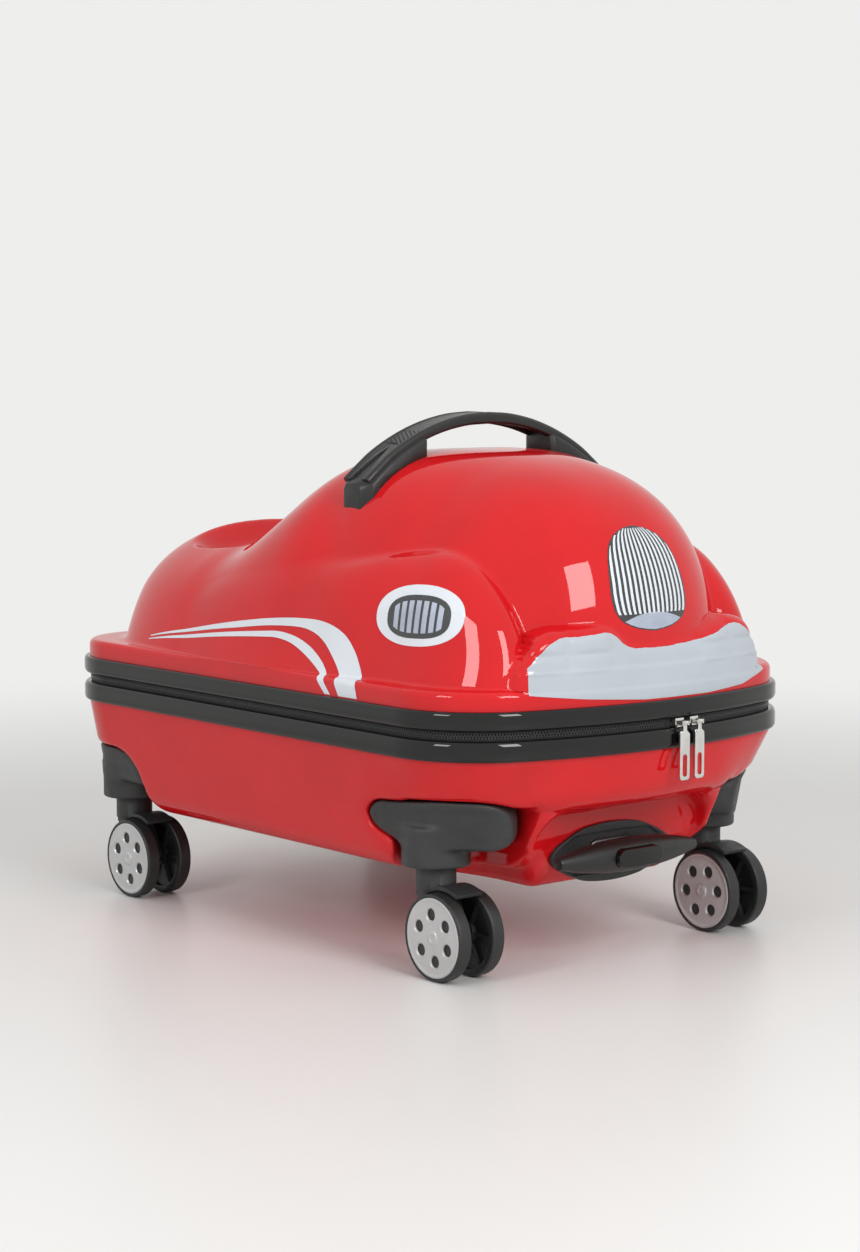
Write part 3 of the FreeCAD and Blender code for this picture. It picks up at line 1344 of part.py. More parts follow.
def make_pull():
    front = -HALF_LENGTH
    half = D["pull_width"] / 2
    thick = D["pull_thickness"]
    pin_y = front - D["lug_reach"]
    eye = D["pull_pin_radius"] + D["run_gap"]
    neck = D["pull_neck_width"] / 2
    body = new_body("pull_master_plate")
    shoulder = SEAM - D["pull_neck_length"]
    bottom = SEAM - D["pull_length"]
    corner = D["pull_width"] / 4
    corners = [(-neck, SEAM), (-neck, shoulder), (-half, shoulder - corner), (-half, bottom + corner),
               (-half + corner, bottom), (half - corner, bottom), (half, bottom + corner),
               (half, shoulder - corner), (neck, shoulder), (neck, SEAM), (0, SEAM + neck)]
    arcs = {3: corner, 5: corner, 9: neck, 10: neck}
    slot_half = D["pull_slot_width"] / 2
    slot_low = bottom + corner + slot_half
    slot_high = slot_low + D["pull_slot_length"] - D["pull_slot_width"]
    slot = ([(-slot_half, slot_high), (-slot_half, slot_low), (0, slot_low - slot_half),
             (slot_half, slot_low), (slot_half, slot_high), (0, slot_high + slot_half)],
            {1: slot_half, 2: slot_half, 4: slot_half, 5: slot_half})
    plate = profile(body, "XZ_Plane", (corners, arcs), slot, offset=-pin_y - thick / 2)
    pad(body, plate, thick)
    barrel = rod_along_x("pull_barrel", thick, -neck, neck, pin_y, SEAM)
    over = neck + D["overrun"]
    hole = rod_along_x("pull_hole", eye, -over, over, pin_y, SEAM)
    return cut("pull_master", fuse("pull_blank", body, barrel), hole)


slider_master = make_slider()
pull_master = make_pull()
doc.recompute()
for slider_name, slider_angle in (("left", num("slider_first")), ("right", num("slider_second"))):
    along_front(slider_master, f"zip_slider_{slider_name}", slider_angle)
    along_front(pull_master, f"zip_pull_{slider_name}", slider_angle)

# Checks and files
doc.recompute()
faults = [obj.Label for obj in doc.Objects if "Invalid" in obj.State or "Error" in obj.State]
faults += [obj.Label for obj in nodes if obj.Shape.isNull() or not obj.Shape.isValid()]
if faults:
    raise RuntimeError(f"these objects failed: {faults}")
os.makedirs("parts", exist_ok=True)
for node in nodes:
    node.Shape.exportStep(f"parts/{node.Label}.step")
print(len(nodes), "pieces written")
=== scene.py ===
"""Looks of the ride-on suitcase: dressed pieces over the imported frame.

Lengths are in mm until a mesh is made; shader sizes, floor fade, light and camera are in metres.
"""
import math
from contextlib import contextmanager

import bmesh
import bpy
import numpy as np
from mathutils import Matrix, Vector
from mathutils.bvhtree import BVHTree


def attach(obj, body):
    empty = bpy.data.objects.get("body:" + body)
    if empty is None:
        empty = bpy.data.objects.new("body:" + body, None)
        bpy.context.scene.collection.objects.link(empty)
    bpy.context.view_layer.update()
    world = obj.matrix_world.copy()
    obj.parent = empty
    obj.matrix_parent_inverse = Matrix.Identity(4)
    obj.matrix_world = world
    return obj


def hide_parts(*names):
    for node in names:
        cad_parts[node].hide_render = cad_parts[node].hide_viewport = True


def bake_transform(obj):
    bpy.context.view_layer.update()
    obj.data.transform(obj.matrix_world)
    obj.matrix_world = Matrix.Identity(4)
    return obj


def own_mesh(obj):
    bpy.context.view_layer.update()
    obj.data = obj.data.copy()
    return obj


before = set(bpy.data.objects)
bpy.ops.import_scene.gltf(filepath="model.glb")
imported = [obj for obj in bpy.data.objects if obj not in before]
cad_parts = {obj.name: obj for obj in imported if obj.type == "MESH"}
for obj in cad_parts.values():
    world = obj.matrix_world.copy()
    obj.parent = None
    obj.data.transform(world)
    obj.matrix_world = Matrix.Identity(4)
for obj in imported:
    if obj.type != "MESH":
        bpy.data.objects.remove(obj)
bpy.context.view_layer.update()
scene = bpy.context.scene
rng = np.random.default_rng(11)
MM = 0.001
SIDES = {-1: "left", 1: "right"}
THIN, NIL = 1e-6, 1e-9

# Sizes shared with the solids
HALF_WIDTH, HALF_LENGTH, BOW = 161.5, 250.0, 37.0
FRONT_CORNER, REAR_CORNER = 72.0, 62.0
BOW_RADIUS = (HALF_WIDTH ** 2 + BOW ** 2) / (2 * BOW)
BOW_Y = BOW_RADIUS - HALF_LENGTH
FRONT_X = HALF_WIDTH - FRONT_CORNER
FRONT_Y = BOW_Y - math.sqrt((BOW_RADIUS - FRONT_CORNER) ** 2 - FRONT_X ** 2)
BOW_ANGLE = math.asin(FRONT_X / (BOW_RADIUS - FRONT_CORNER))
REAR_X, REAR_Y = HALF_WIDTH - REAR_CORNER, HALF_LENGTH - REAR_CORNER
FLANGE_INSET, WALL = 4.0, 2.5
RIM_BOTTOM, LOWER_RIM_TOP, UPPER_RIM_BOTTOM, UPPER_RIM_TOP = 148.0, 161.5, 168.0, 180.5
FLANGE_BOTTOM, LEDGE, SEAM, RIM_DEPTH = 171.5, 193.0, 164.75, 9.2
CASTERS = {"fl": (-123.0, -161.0), "fr": (123.0, -161.0), "rl": (-123.0, 199.0), "rr": (123.0, 199.0)}
TRAIL, WHEEL_RADIUS = 19.0, 29.0

# Materials; a wave texture of scale 1 repeats every WAVE_PERIOD
NOISE_ROUGHNESS, NOISE_LOW, NOISE_HIGH = 0.55, 0.3, 0.7
CLOUD_LOW, CLOUD_HIGH, MARKS_PER_CLOUD = 0.32, 0.7, 9
GLOSSIEST, DULLEST, COAT_ROUGHNESS = 0.82, 1.2, 0.035
GRAIN_DEPTH, THREAD_DEPTH, WAVE_PERIOD = 0.0004, 0.0006, 0.314


def new_material(name):
    mat = bpy.data.materials.new(name)
    mat.use_nodes = True
    tree = mat.node_tree
    return mat, tree, tree.nodes["Principled BSDF"]


def set_inputs(tree, node, inputs):
    """Give each input a value, or link it to another node's output."""
    for socket, value in inputs.items():
        if isinstance(value, bpy.types.NodeSocket):
            tree.links.new(value, node.inputs[socket])
        else:
            node.inputs[socket].default_value = value


def add_node(tree, kind, inputs, **settings):
    """New shader node with its settings and inputs."""
    node = tree.nodes.new(f"ShaderNode{kind}")
    for setting, value in settings.items():
        setattr(node, setting, value)
    set_inputs(tree, node, inputs)
    return node


def coordinates(tree, kind="Object"):
    return add_node(tree, "TexCoord", {}).outputs[kind]


def calculate(tree, operation, *values):
    return add_node(tree, "Math", dict(enumerate(values)), operation=operation).outputs["Value"]


def remap(tree, value, low, high, to_low, to_high, **settings):
    inputs = {"Value": value, "From Min": low, "From Max": high, "To Min": to_low, "To Max": to_high}
    return add_node(tree, "MapRange", inputs, **settings).outputs["Result"]


def noise(tree, scale, detail=4.0, stretch=None):
    vector = coordinates(tree)
    if stretch:
        vector = add_node(tree, "Mapping", {"Vector": vector, "Scale": stretch}).outputs["Vector"]
    inputs = {"Scale": scale, "Detail": detail, "Roughness": NOISE_ROUGHNESS, "Vector": vector}
    return add_node(tree, "TexNoise", inputs).outputs["Fac"]


def spread(tree, value, low, high):
    """Noise stretched over a range."""
    return remap(tree, value, NOISE_LOW, NOISE_HIGH, low, high)


def ramp(tree, value, low, high, colours):
    node = add_node(tree, "ValToRGB", {"Fac": value})
    for element, position, colour in zip(node.color_ramp.elements, (low, high), colours):
        element.position, element.color = position, (*colour, 1)
    return node.outputs["Color"]


def shades(colour, dark, pale):
    return [c * dark for c in colour], [min(c * pale, 1) for c in colour]


def bump(tree, height, strength, distance):
    inputs = {"Strength": strength, "Distance": distance, "Height": height}
    return add_node(tree, "Bump", inputs).outputs["Normal"]


def plastic(name, colour, rough, tint, coat=0.0, grain=None, metallic=0.0, cloud=22.0, stretch=None,
            spec=0.5):
    """Moulded plastic, paint or metal: clouded colour, uneven gloss, fine grain (strength, scale)."""
    mat, tree, shader = new_material(name)
    clouds = noise(tree, cloud, stretch=stretch)
    marks = noise(tree, cloud * MARKS_PER_CLOUD, detail=6.0, stretch=stretch)
    tones = shades(colour, 1 - tint, 1 + tint)
    look = {"Base Color": ramp(tree, clouds, CLOUD_LOW, CLOUD_HIGH, tones),
            "Roughness": spread(tree, marks, rough * GLOSSIEST, rough * DULLEST),
            "Metallic": metallic, "Specular IOR Level": spec}
    if coat:
        look.update({"Coat Weight": coat, "Coat Roughness": COAT_ROUGHNESS})
    if grain:
        strength, scale = grain
        fine = noise(tree, scale, detail=2.0, stretch=stretch)
        look["Normal"] = bump(tree, fine, strength, GRAIN_DEPTH)
    set_inputs(tree, shader, look)
    return mat


def woven(name, colour, pitch, sheen):
    """Cloth of crossing threads; a set of threads fades where its planes lie along the cloth."""
    mat, tree, shader = new_material(name)
    vector = coordinates(tree)
    facing = add_node(tree, "SeparateXYZ", {"Vector": coordinates(tree, "Normal")})
    height = 0.0
    for direction in ("X", "Y", "Z"):
        inputs = {"Scale": WAVE_PERIOD / pitch, "Distortion": 0.6, "Detail": 1.0, "Vector": vector}
        wave = add_node(tree, "TexWave", inputs, bands_direction=direction)
        along = calculate(tree, "ABSOLUTE", facing.outputs[direction])
        share = remap(tree, along, 0.6, 0.9, 0.5, 0.0)
        height = calculate(tree, "MULTIPLY_ADD", wave.outputs["Fac"], share, height)
    set_inputs(tree, shader, {
        "Base Color": ramp(tree, height, 0.15, 0.85, shades(colour, 0.75, 1.2)),
        "Roughness": spread(tree, noise(tree, 260.0), 0.78, 0.95),
        "Normal": bump(tree, height, 0.35, THREAD_DEPTH), "Sheen Weight": sheen})
    return mat


RED = plastic("red_shell_gloss", (0.62, 0.0072, 0.011), 0.22, 0.05, coat=0.8, spec=0.0)
WHITE_PRINT = plastic("white_print", (0.72, 0.765, 0.82), 0.26, 0.03, coat=0.8, spec=0.0)
GREY_PRINT = plastic("grey_print", (0.47, 0.515, 0.565), 0.25, 0.04, coat=0.9, cloud=14.0, spec=0.0)
DARK_PRINT = plastic("dark_print", (0.022, 0.024, 0.026), 0.28, 0.15, coat=0.8)
SILVER_PRINT = plastic("silver_print", (0.42, 0.47, 0.58), 0.27, 0.18, coat=0.8, cloud=30.0)
RIM_BLACK = plastic("rim_gloss_black", (0.005, 0.005, 0.0049), 0.2, 0.25, coat=0.9, spec=0.0)
SOFT_BLACK = plastic("grained_black", (0.026, 0.0275, 0.028), 0.5, 0.22, grain=(0.22, 1500.0))
HANDLE_BLACK = plastic("handle_black", (0.013, 0.0135, 0.0135), 0.38, 0.22, grain=(0.16, 1300.0))
WHEEL_BLACK = plastic("wheel_rubber", (0.019, 0.0195, 0.02), 0.46, 0.28, grain=(0.14, 900.0))
SILVER = plastic("cap_silver", (0.56, 0.565, 0.57), 0.36, 0.08, grain=(0.06, 1600.0), metallic=0.55)
STEEL = plastic("bright_steel", (0.56, 0.565, 0.57), 0.24, 0.08, metallic=1.0, cloud=60.0,
                stretch=(1, 0.1, 1))
CHROME = plastic("zip_plating", (0.72, 0.71, 0.69), 0.12, 0.08, metallic=1.0, cloud=120.0)
ALUMINIUM = plastic("drawn_aluminium", (0.62, 0.63, 0.64), 0.3, 0.06, metallic=1.0, cloud=45.0,
                    stretch=(1, 0.05, 1))
TAPE = woven("zip_tape_weave", (0.02, 0.02, 0.021), 0.0009, 0.1)
TEETH = plastic("zip_teeth", (0.03, 0.03, 0.031), 0.34, 0.2, cloud=200.0)
LINING = woven("lining_weave", (0.17, 0.175, 0.19), 0.0011, 0.3)

# Meshes: a welding distance in metres, a flat angle in degrees, and how corners are rounded
WELD, FLAT, BEVEL_SEGMENTS, CORNER_SHARE = 2e-6, 0.6, 2, 0.45


def add_object(name, data):
    obj = bpy.data.objects.new(name, data)
    scene.collection.objects.link(obj)
    return obj


def make_object(name, verts, faces, mat, sharp=None):
    """New object from points in mm; sharp is the angle in degrees over which an edge stays hard."""
    mesh = bpy.data.meshes.new(name)
    points = (np.asarray(verts, float) * MM).tolist()
    mesh.from_pydata(points, [], [tuple(int(i) for i in f) for f in faces])
    mesh.update()
    mesh.materials.append(mat)
    mesh.shade_smooth()
    if sharp:
        mesh.set_sharp_from_angle(angle=math.radians(sharp))
    return add_object(name, mesh)


def grid_faces(rows, columns, close_rows=False, close_columns=False, start=0):
    faces = []
    for i in range(rows if close_rows else rows - 1):
        a, b = start + i * columns, start + ((i + 1) % rows) * columns
        for j in range(columns if close_columns else columns - 1):
            k = (j + 1) % columns
            faces.append((a + j, b + j, b + k, a + k))
    return faces


def flipped(faces):
    return [tuple(reversed(f)) for f in faces]


def end_caps(rows, columns):
    """Faces that close the first and the last ring of a grid."""
    last = (rows - 1) * columns
    return [tuple(reversed(range(columns))), tuple(range(last, last + columns))]


def lofted(rings):
    """Points and faces of a solid through a row of rings."""
    rows, columns = len(rings), len(rings[0])
    faces = grid_faces(rows, columns, close_columns=True) + end_caps(rows, columns)
    return [p for ring in rings for p in ring], faces


def circle(count):
    """Even angles round a full turn."""
    return np.linspace(0, 2 * np.pi, count, endpoint=False)


def ride(obj, body, *nodes):
    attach(obj, body)
    if nodes:
        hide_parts(*nodes)
    return obj


@contextmanager
def mesh_edit(obj):
    work = bmesh.new()
    work.from_mesh(obj.data)
    yield work
    work.to_mesh(obj.data)
    work.free()


def fix_normals(obj):
    with mesh_edit(obj) as work:
        bmesh.ops.recalc_face_normals(work, faces=work.faces)


def clean(obj, bevel=0.0, angle=32.0):
    """Weld an object's mesh, round its hard edges and leave the result in the mesh."""
    flat = math.radians(FLAT)
    with mesh_edit(obj) as work:
        bmesh.ops.remove_doubles(work, verts=work.verts, dist=WELD)
        bmesh.ops.dissolve_limit(work, angle_limit=flat, verts=work.verts, edges=work.edges)
        bmesh.ops.recalc_face_normals(work, faces=work.faces)
    if bevel:
        mod = obj.modifiers.new("round", "BEVEL")
        mod.width = bevel * MM
        mod.segments = BEVEL_SEGMENTS
        mod.limit_method = "ANGLE"
        mod.angle_limit = math.radians(angle)
        mod.harden_normals = False
        bake_modifiers(obj)
    obj.data.shade_smooth()
    obj.data.set_sharp_from_angle(angle=math.radians(angle))


def bake_modifiers(obj):
    depsgraph = bpy.context.evaluated_depsgraph_get()
    made = bpy.data.meshes.new_from_object(obj.evaluated_get(depsgraph))
    old = obj.data
    obj.modifiers.clear()
    obj.data = made
    bpy.data.meshes.remove(old)


def cut_away(obj, *tools):
    """Cut closed tools out of a closed object, leave the result in its mesh and delete the tools."""
    for tool in tools:
        mod = obj.modifiers.new("cut", "BOOLEAN")
        mod.operation = "DIFFERENCE"
        mod.solver = "EXACT"
        mod.object = tool
        bake_modifiers(obj)
        bpy.data.objects.remove(tool)


def dress(node, body, mat, bevel=0.0, angle=32.0):
    """A rounded copy of a CAD node in a material of its own."""
    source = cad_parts[node]
    mesh = source.data.copy()
    mesh.transform(source.matrix_world)
    mesh.materials.clear()
    mesh.materials.append(mat)
    for polygon in mesh.polygons:
        polygon.material_index = 0
    obj = add_object(f"{node}_dressed", mesh)
    clean(obj, bevel, angle)
    return ride(obj, body, node)


def make_oval(obj, longest=0.004, rounds=4, core=0.5, rim=0.85):
    """Turn a piece's rounded rectangle, seen from the front, into an oval, apart from its core."""
    with mesh_edit(obj) as work:
        for _ in range(rounds):
            bmesh.ops.triangulate(work, faces=work.faces)
            long_edges = [e for e in work.edges if e.calc_length() > longest]
            bmesh.ops.subdivide_edges(work, edges=long_edges, cuts=1)
    points = np.array([v.co for v in obj.data.vertices])
    low, high = points.min(axis=0), points.max(axis=0)
    middle, half = (low + high) / 2, (high - low) / 2
    u, w = (points[:, 0] - middle[0]) / half[0], (points[:, 2] - middle[2]) / half[2]
    share = smooth(core, rim, np.maximum(np.abs(u), np.abs(w)))
    points[:, 0] += half[0] * u * share * (np.sqrt(1 - w ** 2 / 2) - 1)
    points[:, 2] += half[2] * w * share * (np.sqrt(1 - u ** 2 / 2) - 1)
    obj.data.vertices.foreach_set("co", points.ravel())
    obj.data.update()


def outline(step):
    """Points and outward normals of the rims' outer face, from the front's middle towards +X."""
    bow_end = -90 + math.degrees(BOW_ANGLE)
    right = [("arc", 0, BOW_Y, BOW_RADIUS, -90, bow_end),
             ("arc", FRONT_X, FRONT_Y, FRONT_CORNER, bow_end, 0),
             ("line", HALF_WIDTH, FRONT_Y, HALF_WIDTH, REAR_Y, 0),
             ("arc", REAR_X, REAR_Y, REAR_CORNER, 0, 90),
             ("line", REAR_X, HALF_LENGTH, 0, HALF_LENGTH, 90)]
    points, normals = [], []
    for kind, *v in right:
        if kind == "arc":
            x, y, radius, first, last = v
            count = max(2, math.ceil(radius * math.radians(last - first) / step))
            for k in range(count):
                a = math.radians(first + (last - first) * k / count)
                points.append((x + radius * math.cos(a), y + radius * math.sin(a)))
                normals.append((math.cos(a), math.sin(a)))
        else:
            x0, y0, x1, y1, angle = v
            count = max(2, math.ceil(math.hypot(x1 - x0, y1 - y0) / step))
            for k in range(count):
                points.append((x0 + (x1 - x0) * k / count, y0 + (y1 - y0) * k / count))
                normals.append((math.cos(math.radians(angle)), math.sin(math.radians(angle))))
    points.append((0, HALF_LENGTH))
    normals.append((0, 1))
    points += [(-x, y) for x, y in points[-2:0:-1]]
    normals += [(-x, y) for x, y in normals[-2:0:-1]]
    return np.array(points, float), np.array(normals, float)


def swept(points, normals, profile, closed=True):
    """Points and faces of a closed section (outward distance, height) carried along a plan path."""
    profile = np.array(profile, float)
    rows, columns = len(points), len(profile)
    verts = np.empty((rows, columns, 3))
    verts[..., :2] = points[:, None, :] + normals[:, None, :] * profile[None, :, :1]
    verts[..., 2] = profile[None, :, 1]
    faces = grid_faces(rows, columns, close_rows=closed, close_columns=True)
    return verts.reshape(-1, 3), faces if closed else faces + end_caps(rows, columns)


def rounded(corners, radius, segments=4):
    """Section with its corners rounded."""
    out = []
    corners = np.array(corners, float)
    for i, p in enumerate(corners):
        a, b = corners[i - 1] - p, corners[(i + 1) % len(corners)] - p
        long_a, long_b = np.linalg.norm(a), np.linalg.norm(b)
        reach = min(radius, CORNER_SHARE * long_a, CORNER_SHARE * long_b)
        start, end = p + a / long_a * reach, p + b / long_b * reach
        for k in range(segments + 1):
            t = k / segments
            out.append(tuple((1 - t) ** 2 * start + 2 * t * (1 - t) * p + t * t * end))
    return out


def curve_through(points, count):
    """Smooth path through points, by Catmull-Rom pieces."""
    p = np.array(points, float)
    p = np.vstack([2 * p[0] - p[1], p, 2 * p[-1] - p[-2]])
    out = []
    for s in np.linspace(0, len(p) - 3 - NIL, count):
        i, t = int(s), s - int(s)
        a, b, c, d = p[i:i + 4]
        bend, twist = 2 * a - 5 * b + 4 * c - d, 3 * b - a - 3 * c + d
        out.append(0.5 * (2 * b + (c - a) * t + bend * t * t + twist * t ** 3))
    return np.array(out)


# Car body: the solid's formula with finer steps; a range is where along Y a change starts and ends
REACH_STEP, REACH_LIMIT, HALVINGS = 6.0, 330.0, 16
BODY_HALF_WIDTH, BODY_REAR, SEAT_NOSE = 147.0, 236.0, 160.0
SEAT_HEIGHT, BACK_RISE, SEAT_LIP = 86.0, 62.0, 14.0
BACK_RANGE, LIP_RANGE, TAIL_RANGE = (100, -30), (120, 205), (110, 190)
SEAT_PLAN, ELLIPSE, SEAT_SECTION, TAIL_ROUNDER = 4.0, 2.0, 2.6, 0.4
FENDER_MIDDLE, FENDER_TURN_IN, FENDER_HALF_WIDTH, FENDER_SLIM = 107.0, 7.0, 40.0, 2.0
FENDER_LOW, FENDER_RISE, FENDER_TAIL, FENDER_FALL, FENDER_NOSE = 58.0, 28.0, 110.0, 140.0, 80.0
TURN_RANGE, RISE_RANGE, SOFT_RANGE = (-60, -150), (60, -150), (-190, -90)
FENDER_TAIL_PLAN, FENDER_OUTSIDE, FENDER_INSIDE = 2.5, 3.2, 1.9
FENDER_SECTION, FENDER_SQUARER = 1.8, 1.4
CABIN_CROWN, CABIN_FRONT, CABIN_REAR = 60.0, 180.0, 165.0
CABIN_HALF_WIDTH, CABIN_HEIGHT, ROOF_RANGE = 131.0, 148.0, (-135, -55)
NOSE_PLAN, NOSE_SIDE, TAIL_PLAN, NOSE_SECTION, ROOF_SQUARER = 2.4, 2.8, 2.6, 2.35, 0.85
FENDER_BLEND, CABIN_BLEND = 13.5, 5.0
DISH_HALF_WIDTH, DISH_HALF_LENGTH, DISH_Y, DISH_DEPTH, DISH_POWER = 98.0, 70.0, 126.0, 20.0, 3
DISH_EDGE, DISH_ABOVE = (0, 0.6), (20, 50)
FLARE, FLARE_HEIGHT = 7.0, 34.0


def smooth(low, high, value):
    t = np.clip((value - low) / (high - low), 0, 1)
    return t * t * (3 - 2 * t)


def soft_max(a, b, width):
    overlap = np.maximum(width - np.abs(a - b), 0) / width
    return np.maximum(a, b) + overlap * overlap * width / 4


def closing(distance, length, power):
    t = np.clip(distance / length, 0, 1)
    return (1 - t ** power) ** (1 / power)


def in_section(x, z, width, height, power):
    """Whether a place lies in a rounded section, which may have closed to nothing."""
    wide, high = np.abs(x) / np.maximum(width, NIL), z / np.maximum(height, NIL)
    return (height > THIN) & (wide ** power + high ** power < 1)


def in_seat_block(x, y, z, inset):
    behind, before = closing(y, BODY_REAR - inset, SEAT_PLAN), closing(-y, SEAT_NOSE, ELLIPSE)
    end = np.where(y >= 0, behind, before)
    back, lip = BACK_RISE * smooth(*BACK_RANGE, y), SEAT_LIP * smooth(*LIP_RANGE, y)
    width, height = (BODY_HALF_WIDTH - inset) * end, end * (SEAT_HEIGHT + back + lip)
    return in_section(x, z, width, height, SEAT_SECTION - TAIL_ROUNDER * smooth(*TAIL_RANGE, y))


def in_fenders(x, y, z, inset):
    forward = smooth(*TURN_RANGE, y)
    across = np.abs(x) - FENDER_MIDDLE + FENDER_TURN_IN * forward
    end = closing(np.maximum(y, 0), FENDER_TAIL, FENDER_TAIL_PLAN)
    height = np.maximum((FENDER_LOW + FENDER_RISE * smooth(*RISE_RANGE, y)) * end, NIL)
    half = np.maximum((FENDER_HALF_WIDTH - FENDER_SLIM * forward - inset) * end, NIL)
    wide = (np.abs(across) / half) ** np.where(across > 0, FENDER_OUTSIDE - forward, FENDER_INSIDE)
    ahead = (np.maximum(-FENDER_FALL - y, 0) / (FENDER_NOSE - inset)) ** FENDER_INSIDE
    power = FENDER_SECTION + FENDER_SQUARER * smooth(*SOFT_RANGE, y)
    return (end > THIN) & (wide + ahead + (z / height) ** power < 1)


def in_cabin(x, y, z, inset):
    along = y + CABIN_CROWN
    front, rear = CABIN_FRONT - inset, CABIN_REAR - inset
    width = np.where(along < 0, closing(-along, front, NOSE_PLAN), closing(along, rear, TAIL_PLAN))
    height = np.where(along < 0, closing(-along, front, NOSE_SIDE), closing(along, rear, ELLIPSE))
    power = NOSE_SECTION + ROOF_SQUARER * smooth(*ROOF_RANGE, y)
    return in_section(x, z, width * (CABIN_HALF_WIDTH - inset), height * CABIN_HEIGHT, power)


def reach_of(form, direction, inset):
    """Distance from the ledge's middle to the form's farthest skin: coarse steps, then halving."""
    def inside(reach):
        return form(*(reach * direction[..., k] for k in range(3)), inset)
    low = np.zeros(direction.shape[:-1])
    for reach in np.arange(REACH_STEP, REACH_LIMIT, REACH_STEP):
        low = np.where(inside(reach), reach, low)
    high = low + REACH_STEP
    for _ in range(HALVINGS):
        middle = (low + high) / 2
        within = inside(middle)
        low, high = np.where(within, middle, low), np.where(within, high, middle)
    return low


def body_points(turns, climbs, inset=0.0, blend=CABIN_BLEND):
    """Points of the car body above the ledge's middle, for angles round (from +Y to +X) and up."""
    t, c = np.meshgrid(turns, climbs, indexing="ij")
    direction = np.stack([np.cos(c) * np.sin(t), np.cos(c) * np.cos(t), np.sin(c)], -1)
    seat, fenders, cabin = (reach_of(form, direction, inset)
                            for form in (in_seat_block, in_fenders, in_cabin))
    points = direction * soft_max(soft_max(seat, fenders, FENDER_BLEND), cabin, blend)[..., None]
    x, y, z = (points[..., k] for k in range(3))
    across, along = np.abs(x) / DISH_HALF_WIDTH, np.abs(y - DISH_Y) / DISH_HALF_LENGTH
    dish = smooth(*DISH_EDGE, 1 - across ** DISH_POWER - along ** DISH_POWER)
    z -= DISH_DEPTH * dish * smooth(*DISH_ABOVE, z)
    x *= 1 + FLARE / BODY_HALF_WIDTH * np.clip(1 - z / FLARE_HEIGHT, 0, 1) ** 2
    z -= inset
    return points


def outline_reach(turns, inset):
    """Distance from the middle to the plan outline in each direction (from +Y towards +X)."""
    points, normals = outline(0.8)
    x, y = (points - normals * inset).T
    angle = np.arctan2(x, y)
    order = np.argsort(angle)
    return np.interp(turns, angle[order], np.hypot(x, y)[order], period=2 * np.pi)


# Bumper: heights along X where its grey paint ends, seen from the front, and its moulded relief
PAINT_TOP = [(-104, 205), (-100, 212), (-95, 214.5), (-91, 220), (-80, 225.5), (-60, 226),
             (-44, 227.5), (-36, 225.5), (-29, 218), (-20, 215.5), (6, 215), (36, 217), (54, 219.5),
             (68, 223.5), (78, 226), (88, 224), (97, 218), (105, 209), (112, 203), (117, 199)]
PAINT_BOTTOM = [(-104, 190), (-64, 185.6), (-14, 182), (46, 181.6), (86, 183.6), (117, 191)]
PAINT_SOFTENING = (-3, -1.5, 0, 1.5, 3)
BUMPER_X = np.arange(-124, 125, 4.0)
BUMPER_MARGIN, BUMPER_PLAIN, BUMPER_END_RISE = 6.5, 108, 12
BUMPER_ENDS, BUMPER_END_DEPTH, BUMPER_BACK, BUMPER_LEAN = (123, 103), 16.0, 2.4, 0.08
ROLL_HEIGHT, ROLL_DEPTH, ROLL_POWER = 11.0, 15.0, 2.2
PANE_START, PANE_PITCH, PANE_POWER, PANE_DEPTH, LIP_DEPTH = 38.0, 34.0, 0.6, 1.7, 1.5
GROOVE_Z, GROOVE_HALF_WIDTH, GROOVE_SHARE = 214.5, 2.2, 0.75


def paint_top(x):
    heights = [np.interp(x + step, *zip(*PAINT_TOP)) for step in PAINT_SOFTENING]
    return sum(heights) / len(heights)


def paint_bottom(x):
    return np.interp(x, *zip(*PAINT_BOTTOM))


def bumper_profile():
    """Heights of the bumper's top edge at BUMPER_X."""
    away = np.abs(BUMPER_X)
    plain = LEDGE + BUMPER_END_RISE * smooth(BUMPER_X[-1], BUMPER_PLAIN, away)
    painted = np.interp(BUMPER_X, *zip(*PAINT_TOP)) + BUMPER_MARGIN
    raw = np.where(away > BUMPER_PLAIN, plain, painted)
    return np.convolve(np.pad(raw, 1, mode="edge"), [0.2, 0.6, 0.2], mode="valid")


BUMPER_TOP = bumper_profile()


def bumper_reach(x, z, edge):
    """How far out the bumper stands at a place seen from the front; edge is the flange's reach."""
    away = np.abs(x)
    top = np.interp(x, BUMPER_X, BUMPER_TOP)
    ends = smooth(*BUMPER_ENDS, away)
    over = np.clip((z - top + ROLL_HEIGHT) / ROLL_HEIGHT, 0, 1)
    lean = BUMPER_LEAN * np.maximum(z - LEDGE, 0)
    roll = ROLL_DEPTH * (1 - np.sqrt(np.maximum(1 - over ** ROLL_POWER, 0)))
    waves = np.abs(np.sin((away - PANE_START) * math.pi / PANE_PITCH)) ** PANE_POWER
    panes = smooth(34, 46, away) * waves * smooth(201, 206, z)
    groove = GROOVE_SHARE * np.exp(-((z - GROOVE_Z) / GROOVE_HALF_WIDTH) ** 2)
    relief = LIP_DEPTH * smooth(205.5, 203.0, z) + PANE_DEPTH * panes * (1 - groove)
    reach = edge - BUMPER_BACK - lean - roll + relief - BUMPER_END_DEPTH * (1 - ends)
    return np.where((z < top) & (ends > 0), reach, 0)


# Lid skins
TURNS, CLIMBS, CLIMB_POWER = 720, 270, 1.5
FILLET_SHARE, FILLET_LEAST, FILLET_MOST = 0.3, 0.5, 2.5
EDGE_RADIUS, EDGE_SHARE, EDGE_STEPS = 4.5, 0.8, 6
BUMPER_LOW, BUMPER_HIGH, BUMPER_BLEND = 186, 245, 4.0


